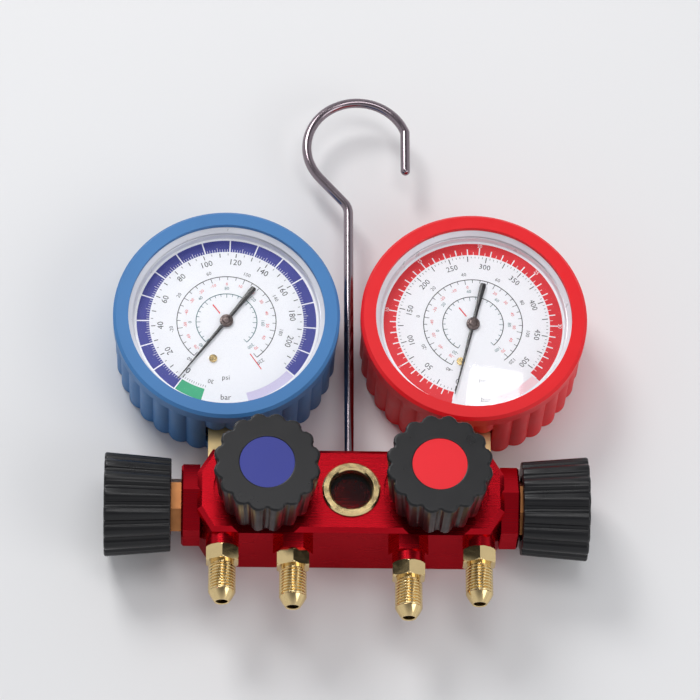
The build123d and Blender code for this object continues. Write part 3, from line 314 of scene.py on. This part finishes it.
def turned_rings(centre, section, segments):
    """Rings of points round an upright axis from (radius, height) pairs in millimetres."""
    rings = []
    for radius, height in section:
        ring = []
        for index in range(segments):
            turn = 2 * pi * index / segments
            ring.append(tuple(centre + Vector((radius * cos(turn), radius * sin(turn), height)) * MM))
        rings.append(ring)
    return rings


ARC_STEP = 2.0
LETTER_RESOLUTION = 2


class Print:
    """Flat ink shapes on one dial, gathered into one mesh per ink."""

    def __init__(self, centre, height):
        self.centre = centre
        self.height = height
        self.vertices = []
        self.faces = []

    def point(self, radius, angle):
        """Angle in degrees, clockwise from straight down."""
        x = self.centre[0] - radius * sin(radians(angle))
        y = self.centre[1] - radius * cos(radians(angle))
        return (x, y, self.height)

    def arc(self, outer, inner, start, end):
        """Stretch of a ring between two angles."""
        count = int(ceil((end - start) / ARC_STEP))
        base = len(self.vertices)
        for index in range(count + 1):
            angle = start + (end - start) * index / count
            self.vertices += [self.point(inner, angle), self.point(outer, angle)]
        for index in range(count):
            a = base + 2 * index
            self.faces.append((a, a + 2, a + 3, a + 1))

    def tick(self, outer, inner, angle, width):
        """Straight mark along a radius."""
        radial = Vector(self.point(1, angle)) - Vector(self.point(0, angle))
        side = Vector((-radial.y, radial.x, 0)) * width / 2
        base = len(self.vertices)
        for radius, sign in ((inner, -1), (outer, -1), (outer, 1), (inner, 1)):
            self.vertices.append(tuple(Vector(self.point(radius, angle)) + sign * side))
        self.faces.append((base, base + 1, base + 2, base + 3))

    def text(self, words, radius, angle, size, upright=False):
        """Lettering as flat faces, its foot towards the hub or straight down."""
        curve = bpy.data.curves.new("letters", "FONT")
        curve.body = words
        curve.size = size
        curve.align_x = "CENTER"
        curve.align_y = "CENTER"
        curve.resolution_u = LETTER_RESOLUTION
        holder = bpy.data.objects.new("letters", curve)
        bpy.context.scene.collection.objects.link(holder)
        bpy.context.view_layer.update()
        shape = holder.evaluated_get(bpy.context.evaluated_depsgraph_get())
        mesh = bpy.data.meshes.new_from_object(shape)
        turn = Matrix.Rotation(0 if upright else radians(180 - angle), 3, "Z")
        place = Vector(self.point(radius, angle))
        base = len(self.vertices)
        self.vertices += [tuple(turn @ vertex.co + place) for vertex in mesh.vertices]
        self.faces += [tuple(base + index for index in polygon.vertices) for polygon in mesh.polygons]
        bpy.data.objects.remove(holder)
        bpy.data.curves.remove(curve)
        bpy.data.meshes.remove(mesh)

    def write(self, name, material):
        mesh_object(name, self.vertices, self.faces, material, "manifold")


# ---------------------------------------------------------------- dials
# radii, lengths and widths in metres; angles in degrees, clockwise from straight down
INK_STEP = 0.03 * MM
BAND_OUTER = 37.1 * MM
BAND_INNER = 31.9 * MM
ZONE_INNER = BAND_INNER + 1.4 * MM
ZONE_GAP = 0.6
GREEN_GAP = 0.4
PSI_PER_BAR = 14.5
MARK_OUTER = 31.2 * MM
LONG_MARK_WIDTH = 0.36 * MM
RING_MARK_WIDTH = 0.24 * MM
OUTER_CIRCLE = (20.65 * MM, 20.3 * MM)
INNER_CIRCLE = (12.75 * MM, 12.4 * MM)
OUTER_RING = {"foot": 20.5 * MM, "short": 19.0 * MM, "long": 18.3 * MM, "letters": (22.9 * MM, 2.2 * MM)}
INNER_RING = {"foot": 12.6 * MM, "short": 11.4 * MM, "long": 10.8 * MM, "letters": (15.0 * MM, 2.0 * MM)}
RED_COUNT = 15
RED_RADIUS = 17.0 * MM
RED_SIZE = 1.8 * MM


def zone(place, name, ink, inner, start, end):
    """A plain coloured stretch of the rim."""
    stretch = Print(*place)
    stretch.arc(BAND_OUTER, inner, start, end)
    stretch.write(name, ink)


def psi_scale(ink, zero, psi, last, long_every, reach, short_width, letters_every, letters):
    """Main marks, one each 5 psi; reach is how far in the long and the short ones go."""
    radius, size = letters
    for value in range(0, last + 1, 5):
        angle = zero + psi * value / PSI_PER_BAR
        long = value % long_every == 0
        ink.tick(MARK_OUTER, reach[0] if long else reach[1], angle, LONG_MARK_WIDTH if long else short_width)
        if value % letters_every == 0:
            ink.text(str(value), radius, angle, size)


def units(ink, angle):
    ink.text("psi", 25.5 * MM, angle, 3.0 * MM, upright=True)
    ink.text("bar", 34.4 * MM, angle, 3.4 * MM, upright=True)


def ring_scale(ink, ring, start, sweep, steps, each, first):
    """Marks round an inner circle; every fourth is longer and carries its number."""
    radius, size = ring["letters"]
    for value in range(steps + 1):
        angle = start + sweep * value / steps
        numbered = value % 4 == 0
        ink.tick(ring["foot"], ring["long" if numbered else "short"], angle, RING_MARK_WIDTH)
        if numbered:
            ink.text(str(value * each + first), radius, angle, size)


def red_scale(ink, start, sweep):
    """Numbers between the two circles, and the short red line near the hub."""
    for value in range(RED_COUNT):
        ink.text(str(value * 10 - 70), RED_RADIUS, start + sweep * value / (RED_COUNT - 1), RED_SIZE)
    ink.tick(9.5 * MM, 4.5 * MM, 143, 0.5 * MM)


def low_dial(centre, height):
    """Vacuum and 0 to 15 bar: blue band, green vacuum zone and lilac retard zone."""
    zero, full, vacuum, retard = 34.6, 311.0, 15.8, 345.4
    bars = 15
    bar = (full - zero) / bars
    place = (centre, height)
    zone(place, "low_dial_blue_band", INK_BLUE, BAND_INNER, zero, full)
    zone(place, "low_dial_green_zone", INK_GREEN, BAND_INNER, vacuum, zero - GREEN_GAP)
    zone(place, "low_dial_lilac_zone", INK_LILAC, ZONE_INNER, full + ZONE_GAP, retard)
    white = Print(centre, height + INK_STEP)
    for index in range(bars + 1):
        angle = zero + bar * index
        white.tick(BAND_OUTER, BAND_INNER, angle, 0.55 * MM)
        for tenth in range(1, 10):
            reach = 1.9 * MM if tenth == 5 else 1.2 * MM
            if index < bars:
                white.tick(BAND_INNER + reach, BAND_INNER, angle + bar * tenth / 10, 0.16 * MM)
    white.write("low_dial_white_marks", INK_WHITE)
    black = Print(*place)
    psi_scale(
        black, zero, bar, last=215, long_every=10, reach=(29.4 * MM, 30.3 * MM), short_width=0.22 * MM,
        letters_every=20, letters=(27.2 * MM, 3.6 * MM),
    )
    for tenth in range(1, 11):
        black.tick(MARK_OUTER, 30.2 * MM, zero - (zero - vacuum) * tenth / 10, 0.16 * MM)
    black.text("30", 27.9 * MM, vacuum - 3, 2.6 * MM)
    units(black, 0)
    black.arc(*OUTER_CIRCLE, 40, 322)
    ring_scale(black, OUTER_RING, start=40, sweep=282, steps=28, each=10, first=-60)
    black.write("low_dial_black_marks", INK_BLACK)
    teal = Print(*place)
    teal.arc(*INNER_CIRCLE, 42, 318)
    ring_scale(teal, INNER_RING, start=42, sweep=276, steps=24, each=10, first=-40)
    teal.write("low_dial_teal_marks", INK_TEAL)
    red = Print(*place)
    red_scale(red, start=46, sweep=268)
    red.tick(26.0 * MM, 17.6 * MM, 326, 0.4 * MM)
    red.write("low_dial_red_marks", INK_RED)


def high_dial(centre, height):
    """0 to 35 bar: red band and pink retard zone."""
    zero, full, retard = 14.6, 313.3, 345.0
    bars = 35
    bar = (full - zero) / bars
    place = (centre, height)
    zone(place, "high_dial_red_band", INK_RED, BAND_INNER, zero, full)
    zone(place, "high_dial_pink_zone", INK_PINK, ZONE_INNER, full + ZONE_GAP, retard)
    white = Print(centre, height + INK_STEP)
    for value in range(bars + 1):
        angle = zero + bar * value
        long = value % 5 == 0
        white.tick(BAND_INNER + (3.4 if long else 2.6) * MM, BAND_INNER, angle, 0.5 * MM)
        if value < bars:
            white.tick(BAND_INNER + 1.3 * MM, BAND_INNER, angle + bar / 2, 0.22 * MM)
        if long and 0 < value < bars:
            white.text(str(value), 36.0 * MM, angle, 2.1 * MM)
    white.write("high_dial_white_marks", INK_WHITE)
    black = Print(*place)
    psi_scale(
        black, zero, bar, last=500, long_every=25, reach=(28.8 * MM, 30.4 * MM), short_width=0.2 * MM,
        letters_every=50, letters=(26.7 * MM, 3.3 * MM),
    )
    units(black, -8)
    black.arc(*OUTER_CIRCLE, 26, 322)
    ring_scale(black, OUTER_RING, start=26, sweep=290, steps=32, each=5, first=-40)
    black.arc(*INNER_CIRCLE, 30, 318)
    black.write("high_dial_black_marks", INK_BLACK)
    teal = Print(*place)
    ring_scale(teal, INNER_RING, start=30, sweep=288, steps=24, each=5, first=-20)
    teal.write("high_dial_teal_marks", INK_TEAL)
    red = Print(*place)
    red_scale(red, start=32, sweep=282)
    red.write("high_dial_red_marks", INK_RED)


def dial_middle(gauge):
    """Middle of a dial's printed face."""
    low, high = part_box(gauge + "_dial")
    return Vector(((low.x + high.x) / 2, (low.y + high.y) / 2, high.z))


def ink_place(gauge):
    middle = dial_middle(gauge)
    return (middle.x, middle.y), middle.z + INK_STEP


low_dial(*ink_place("low_side"))
high_dial(*ink_place("high_side"))


# ---------------------------------------------------------------- threaded ports
THREAD_PITCH = 1.27 * MM
THREAD_DEPTH = 0.62 * MM
PORT_SEGMENTS = 96
HEX_FLAT = 6.5 * MM
PORT_BARREL = 5.56 * MM
PORT_BORE = 2.4 * MM
HEX_LENGTH = 6.2 * MM
BARREL_LENGTH = 12.6 * MM
CONE_LENGTH = 4.2 * MM
PORT_LENGTH = HEX_LENGTH + BARREL_LENGTH + CONE_LENGTH
UNDERCUT = 1.2 * MM
UNDERCUT_DEPTH = 0.8 * MM
SHANK_DEPTH = 0.56 * MM
THREAD_FADE_IN = 0.8 * MM
THREAD_FADE_OUT = 0.9 * MM
THREAD_LEAD = 0.6 * MM
FLANK_STEEPNESS = 1.5
STATIONS_PER_TURN = 12
HEX_CORNER_REACH = 1.04
HEX_CORNER_SLOPE = 1.7
HEX_END_STATIONS = (0.0, 0.15, 0.3, 0.5, 0.8, 1.2)
CONE_SLOPE = 0.6
CONE_STATIONS = 6
CONE_ROUNDING = 0.175 * MM
MOUTH_CHAMFER = 0.25 * MM
SHOULDER_STEP = 0.001 * MM


def hex_radius(angle, height, length):
    """Hexagon across flats with both end corners turned off."""
    sector = (angle + pi / 6) % (pi / 3) - pi / 6
    corner = HEX_FLAT / cos(sector)
    inset = min(height, length - height)
    turned = HEX_FLAT * HEX_CORNER_REACH + inset * HEX_CORNER_SLOPE
    return min(corner, turned)


def thread_height(along, angle):
    """Triangular right-hand thread with flattened crests, fading out at both ends."""
    phase = (along / THREAD_PITCH - angle / (2 * pi)) % 1.0
    wave = min(abs(2 * phase - 1) * FLANK_STEEPNESS, 1.0)
    fade_in = min(max((along - UNDERCUT) / THREAD_FADE_IN, 0), 1)
    fade_out = min(max((BARREL_LENGTH - along) / THREAD_FADE_OUT, 0), 1)
    return THREAD_DEPTH * (1 - wave) * fade_in * fade_out


def port_radius(along, angle):
    """Outside radius at a distance from the hexagon's foot."""
    if along <= HEX_LENGTH:
        return hex_radius(angle, along, HEX_LENGTH)
    along -= HEX_LENGTH
    if along <= UNDERCUT:
        return PORT_BARREL - UNDERCUT_DEPTH
    if along <= BARREL_LENGTH:
        lead = min((along - UNDERCUT) / THREAD_LEAD, 1)
        return PORT_BARREL - UNDERCUT_DEPTH * (1 - lead) - thread_height(along, angle)
    share = (along - BARREL_LENGTH) / CONE_LENGTH
    rounding = CONE_ROUNDING * (1 - (2 * share - 1) ** 2)
    return PORT_BARREL - CONE_SLOPE * CONE_LENGTH * share + rounding


def port_stations():
    """Distances from the hexagon's foot, closer together where the shape changes."""
    stations = [gap * MM for gap in HEX_END_STATIONS] + [HEX_LENGTH / 2]
    stations += [HEX_LENGTH - gap * MM for gap in reversed(HEX_END_STATIONS)]
    stations += [HEX_LENGTH + SHOULDER_STEP, HEX_LENGTH + UNDERCUT]
    steps = int((BARREL_LENGTH - UNDERCUT) / (THREAD_PITCH / STATIONS_PER_TURN))
    start = HEX_LENGTH + UNDERCUT
    stations += [start + (BARREL_LENGTH - UNDERCUT) * (index + 1) / steps for index in range(steps)]
    for step in range(1, CONE_STATIONS + 1):
        stations.append(PORT_LENGTH - CONE_LENGTH * (1 - step / CONE_STATIONS))
    return stations


def threaded_port(node):
    """A flare port with a real helical thread, in the place of its CAD node."""
    low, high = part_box(node)
    axis_x = (low.x + high.x) / 2
    axis_z = (low.z + high.z) / 2
    foot = low.y + PORT_LENGTH
    root = foot - high.y
    angles = [2 * pi * index / PORT_SEGMENTS for index in range(PORT_SEGMENTS)]

    def ring(along, radii):
        around = []
        for angle, radius in zip(angles, radii):
            around.append((axis_x + radius * cos(angle), foot - along, axis_z + radius * sin(angle)))
        return around

    def plain(along, radius):
        return ring(along, [radius] * PORT_SEGMENTS)

    rings = [plain(root, PORT_BARREL - SHANK_DEPTH), plain(0.0, PORT_BARREL - SHANK_DEPTH)]
    for along in port_stations():
        rings.append(ring(along, [port_radius(along, angle) for angle in angles]))
    rings.append(plain(PORT_LENGTH, PORT_BORE + MOUTH_CHAMFER))
    rings.append(plain(PORT_LENGTH - MOUTH_CHAMFER, PORT_BORE))
    rings.append(plain(root, PORT_BORE))
    piece = closed_tube(node + "_threaded", rings, BRASS, "manifold")
    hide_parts(node)


for port_name in ("vacuum", "low_side", "high_side", "charging"):
    threaded_port(port_name + "_port")


# ---------------------------------------------------------------- fluted handwheels
WHEEL_HEIGHT = 27.0 * MM
WHEEL_FRONT = 21.5 * MM
WHEEL_BACK = 19.3 * MM
WHEEL_FRONT_EDGE = 1.0 * MM
WHEEL_BACK_EDGE = 0.5 * MM
WHEEL_FLUTES = 16
FLUTE_RADIUS = 1.6 * MM
FLUTE_DEPTH = 1.7 * MM
LIP_RADIUS = 0.9 * MM
RIB_CROWN = 0.65 * MM
CAP_SEAT_RADIUS = 11.02 * MM
CAP_SEAT_DEPTH = 1.9 * MM
SCREW_WELL_RADIUS = 4.2 * MM
SCREW_WELL_DEPTH = 6.4 * MM
STEM_HOLE_RADIUS = 3.05 * MM
HOLLOW_RADIUS = 13.45 * MM
HOLLOW_DEPTH = 12.0 * MM
FOOT_FLUTES_START = 16.2 * MM
FACE_FLUTES_END = 18.0 * MM
FACE_SUPPORT = 0.15 * MM
SEAT_LIP = [(0.5, 0.0), (0.3, 0.0), (0.1, 0.08), (0.0, 0.3)]
FLUTE_STEPS = 7
LIP_STEPS = 6
CROWN_STEPS = 4
BACK_EDGE_STEPS = 3
FRONT_EDGE_STEPS = 6


def flute_section():
    """Half a flute and half a rib: (sideways, inward) points from the flute's middle to its lip."""
    centre_drop = FLUTE_DEPTH - FLUTE_RADIUS
    lip_drop = RIB_CROWN + LIP_RADIUS
    lip_x = sqrt((FLUTE_RADIUS + LIP_RADIUS) ** 2 - (lip_drop - centre_drop) ** 2)
    meeting = atan2(lip_drop - centre_drop, lip_x)
    points = []
    for index in range(FLUTE_STEPS + 1):
        angle = -pi / 2 + (pi / 2 - meeting) * index / FLUTE_STEPS
        points.append((FLUTE_RADIUS * cos(angle), centre_drop - FLUTE_RADIUS * sin(angle)))
    for index in range(1, LIP_STEPS + 1):
        angle = pi - meeting - (pi / 2 - meeting) * index / LIP_STEPS
        points.append((lip_x + LIP_RADIUS * cos(angle), lip_drop - LIP_RADIUS * sin(angle)))
    return points


def outline_turn(radius):
    """(angle, inset) of every point round the fluted outline at one radius."""
    half = [(sideways / radius, inward) for sideways, inward in flute_section()]
    lip_angle, lip_inset = half[-1]
    middle = pi / WHEEL_FLUTES
    for index in range(1, CROWN_STEPS + 1):
        share = index / CROWN_STEPS
        half.append((lip_angle + (middle - lip_angle) * share, lip_inset * (1 - share) ** 2))
    around = []
    for flute in range(WHEEL_FLUTES):
        centre = flute * 2 * pi / WHEEL_FLUTES
        around += [(centre - angle, inset) for angle, inset in reversed(half[1:])]
        around += [(centre + angle, inset) for angle, inset in half[:-1]]
    return around


def wheel_rings():
    """(height, radius, share of the flutes) of every ring, round the closed section."""
    slope = (WHEEL_FRONT - WHEEL_BACK) / (WHEEL_HEIGHT - WHEEL_FRONT_EDGE)
    rings = [(0.0, HOLLOW_RADIUS, 0.0), (0.0, FOOT_FLUTES_START, 0.0)]
    for index in range(BACK_EDGE_STEPS + 1):
        angle = pi / 2 * index / BACK_EDGE_STEPS
        height = WHEEL_BACK_EDGE * (1 - cos(angle))
        rings.append((height, WHEEL_BACK - WHEEL_BACK_EDGE * (1 - sin(angle)), 1.0))
    for share in (0.25, 0.5, 0.75):
        height = share * (WHEEL_HEIGHT - WHEEL_FRONT_EDGE)
        rings.append((height, WHEEL_BACK + slope * height, 1.0))
    for index in range(FRONT_EDGE_STEPS + 1):
        angle = pi / 2 * index / FRONT_EDGE_STEPS
        height = WHEEL_HEIGHT - WHEEL_FRONT_EDGE * (1 - sin(angle))
        rings.append((height, WHEEL_FRONT - WHEEL_FRONT_EDGE * (1 - cos(angle)), 1.0))
    top = WHEEL_HEIGHT
    rings += [(top, WHEEL_FRONT - WHEEL_FRONT_EDGE - FACE_SUPPORT, 1.0), (top, FACE_FLUTES_END, 0.0)]
    rings += [(top - drop * MM, CAP_SEAT_RADIUS + past * MM, 0.0) for past, drop in SEAT_LIP]
    seat, well = top - CAP_SEAT_DEPTH, top - SCREW_WELL_DEPTH
    rings += [(seat, CAP_SEAT_RADIUS, 0.0), (seat, SCREW_WELL_RADIUS, 0.0)]
    rings += [(well, SCREW_WELL_RADIUS, 0.0), (well, STEM_HOLE_RADIUS, 0.0)]
    rings += [(HOLLOW_DEPTH, STEM_HOLE_RADIUS, 0.0), (HOLLOW_DEPTH, HOLLOW_RADIUS, 0.0)]
    return rings


def valve_frame(node):
    """Foot of a valve piece on its axis, the outward axis and a direction across it."""
    low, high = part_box(node)
    middle = (low + high) / 2
    if node.startswith("vacuum"):
        return Vector((high.x, middle.y, middle.z)), Vector((-1, 0, 0)), Vector((0, 1, 0))
    if node.startswith("charging"):
        return Vector((low.x, middle.y, middle.z)), Vector((1, 0, 0)), Vector((0, 1, 0))
    return Vector((middle.x, middle.y, low.z)), Vector((0, 0, 1)), Vector((1, 0, 0))


def fluted_wheel(valve):
    """Tapered hollow handwheel with rounded flutes, in place of its CAD node."""
    node = valve + "_handwheel"
    foot, axis, across = valve_frame(node)
    beside = axis.cross(across)
    rings = []
    for height, radius, share in wheel_rings():
        ring = []
        for angle, inset in outline_turn(max(radius, WHEEL_BACK - WHEEL_BACK_EDGE)):
            reach = radius - inset * share
            outwards = across * cos(angle) + beside * sin(angle)
            ring.append(tuple(foot + axis * height + outwards * reach))
        rings.append(ring)
    body = valve + "_valve_wheel"
    piece = closed_tube(valve + "_fluted_wheel", rings, BLACK_PLASTIC, body)
    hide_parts(node)


for valve_name in ("low_side", "high_side", "vacuum", "charging"):
    fluted_wheel(valve_name)


# ---------------------------------------------------------------- pointers
# distances along the pointer and half widths in millimetres
POINTER_STATIONS = [
    (33.0, 0.18), (30.0, 0.24), (20.0, 0.42), (10.0, 0.62), (3.0, 0.8), (0.0, 0.85),
    (-3.0, 0.8), (-8.0, 0.85), (-12.0, 1.05), (-17.0, 1.25), (-18.6, 1.2), (-19.0, 0.9),
]
POINTER_LIFT = 0.74 * MM
POINTER_EDGE = 0.12 * MM
RIDGE_PER_WIDTH = 0.3 * MM
RIDGE_WIDEST = 0.85
# radii and heights in millimetres
HUB_SECTION = [
    (0.95, 0.0), (2.6, 0.0), (2.75, 0.12), (2.75, 0.95), (2.62, 1.1), (2.3, 1.18), (1.75, 1.22),
    (1.6, 1.35), (1.5, 1.6), (1.2, 1.7), (0.6, 1.75), (0.05, 1.76), (0.05, 1.66), (0.95, 1.62),
]
HUB_SEGMENTS = 64


def gauge_pointer(gauge, rest_angle):
    """Slim pointer with a ridge along it, and the cap of its hub, in place of the CAD node."""
    node = gauge + "_pointer"
    body = gauge + "_pointer_shaft"
    low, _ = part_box(node)
    middle = dial_middle(gauge)
    hub = Vector((middle.x, middle.y, low.z))
    along = Vector((cos(radians(rest_angle)), sin(radians(rest_angle)), 0))
    across = Vector((-along.y, along.x, 0))
    foot = hub + Vector((0, 0, POINTER_LIFT))
    edge = Vector((0, 0, POINTER_EDGE))
    rings = []
    for distance, half_width in POINTER_STATIONS:
        place = foot + along * distance * MM
        side = across * half_width * MM
        ridge = Vector((0, 0, POINTER_EDGE + RIDGE_PER_WIDTH * min(half_width, RIDGE_WIDEST)))
        rings.append([place - side, place + side, place + side + edge, place + ridge, place - side + edge])
    count = len(rings[0])
    vertices = [tuple(point) for ring in rings for point in ring]
    faces = [tuple(range(count))[::-1], tuple(range(len(vertices) - count, len(vertices)))]
    for row in range(len(rings) - 1):
        a, b = row * count, (row + 1) * count
        for index in range(count):
            beside = (index + 1) % count
            faces.append((a + index, a + beside, b + beside, b + index))
    piece = mesh_object(gauge + "_ridged_pointer", vertices, faces, POINTER_BLACK, body)
    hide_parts(node)
    hub_rings = turned_rings(hub, HUB_SECTION, HUB_SEGMENTS)
    closed_tube(gauge + "_pointer_hub_cap", hub_rings, HUB_BRONZE, body)


gauge_pointer("low_side", -126.6)
gauge_pointer("high_side", -103.9)


# ---------------------------------------------------------------- spacer rings under the lenses
# radii and heights in millimetres
SPACER_SECTION = [
    (39.6, 0.06), (38.15, 0.06), (38.05, 0.14), (38.1, 0.24), (38.72, 2.02), (38.85, 2.1), (39.6, 2.1),
]
SPACER_SEGMENTS = 192


def spacer_ring(gauge):
    """White ring between the dial and the lens, flared towards the front."""
    rings = turned_rings(dial_middle(gauge), SPACER_SECTION, SPACER_SEGMENTS)
    closed_tube(gauge + "_spacer_ring", rings, SPACER_WHITE, "manifold")


spacer_ring("low_side")
spacer_ring("high_side")


# ---------------------------------------------------------------- floor, light and camera
# the sky is lit evenly up to SKY_LOW and darkens to SKY_HIGH (heights of the direction's unit vector)
SKY_LOW = 0.5
SKY_HIGH = 0.85
SKY_LOW_COLOUR = (0.72, 0.73, 0.76, 1)
SKY_HIGH_COLOUR = (0.2, 0.2, 0.22, 1)
FLOOR_SIZE = 6
FLOOR_PLACE = (0, 0.07, -0.2 * MM)
LIGHT_AIM = Vector((0.0, 0.070, 0.020))
GLINT_SPOT = Vector((0.0590, 0.0490, 0.0320))
GLINT_DISTANCE = 0.9
CAMERA_PLACE = Vector((-0.0592, -0.6959, 1.6847))
CAMERA_AIM = Vector((0.0, 0.0669, 0.030))
CAMERA_ROLL = radians(4.72)
FRAME_WIDTH = 0.2885


def studio_world():
    world = bpy.data.worlds.new("studio")
    bpy.context.scene.world = world
    world.use_nodes = True
    nodes = world.node_tree.nodes
    links = world.node_tree.links
    direction = nodes.new("ShaderNodeTexCoord")
    split = nodes.new("ShaderNodeSeparateXYZ")
    links.new(direction.outputs["Generated"], split.inputs["Vector"])
    sky = nodes.new("ShaderNodeValToRGB")
    sky.color_ramp.elements[0].position = SKY_LOW
    sky.color_ramp.elements[0].color = SKY_LOW_COLOUR
    sky.color_ramp.elements[1].position = SKY_HIGH
    sky.color_ramp.elements[1].color = SKY_HIGH_COLOUR
    links.new(split.outputs["Z"], sky.inputs["Fac"])
    links.new(sky.outputs["Color"], nodes["Background"].inputs["Color"])


def studio_floor():
    bpy.ops.mesh.primitive_plane_add(size=FLOOR_SIZE, location=FLOOR_PLACE)
    floor = bpy.context.object
    floor.name = "floor"
    finish = Finish("floor", (0.8, 0.8, 0.8, 1), roughness=0.7)
    finish.vary_colour(scale=3, amount=0.01)
    floor.data.materials.append(finish.material)


def area_light(name, place, target, size, power):
    light = bpy.data.lights.new(name, "AREA")
    light.shape = "RECTANGLE"
    light.size, light.size_y = size
    light.energy = power
    lamp = bpy.data.objects.new(name, light)
    bpy.context.scene.collection.objects.link(lamp)
    lamp.location = place
    aim = target - Vector(place)
    lamp.rotation_euler = aim.to_track_quat("-Z", "Y").to_euler()


def window_glint():
    """Small lamp that the high side lens mirrors towards its lower right."""
    sight = (GLINT_SPOT - CAMERA_PLACE).normalized()
    mirrored = Vector((sight.x, sight.y, -sight.z))
    place = GLINT_SPOT + mirrored * GLINT_DISTANCE
    area_light("window", place, GLINT_SPOT, size=(0.032, 0.024), power=0.025)


def make_camera():
    """Camera at the photograph's angle; FRAME_WIDTH is what it sees across at the aim."""
    camera = bpy.data.cameras.new("camera")
    holder = bpy.data.objects.new("camera", camera)
    bpy.context.scene.collection.objects.link(holder)
    bpy.context.scene.camera = holder
    sight = CAMERA_AIM - CAMERA_PLACE
    camera.sensor_width = 36
    camera.sensor_fit = "HORIZONTAL"
    camera.lens = camera.sensor_width * sight.length / FRAME_WIDTH
    camera.clip_start = 0.05
    turn = sight.to_track_quat("-Z", "Y").to_matrix().to_4x4()
    roll = Matrix.Rotation(CAMERA_ROLL, 4, "Z")
    holder.matrix_world = Matrix.Translation(CAMERA_PLACE) @ turn @ roll


studio_world()
studio_floor()
area_light("key", (-0.5, 0.9, 1.1), LIGHT_AIM, size=(0.5, 0.5), power=8.5)
area_light("fill", (0.9, -0.5, 0.9), LIGHT_AIM, size=(0.8, 0.6), power=3.4)
area_light("overhead", (0.1, 0.2, 1.5), LIGHT_AIM, size=(0.9, 0.4), power=4.2)
window_glint()
make_camera()
bpy.context.scene.view_settings.view_transform = "Standard"
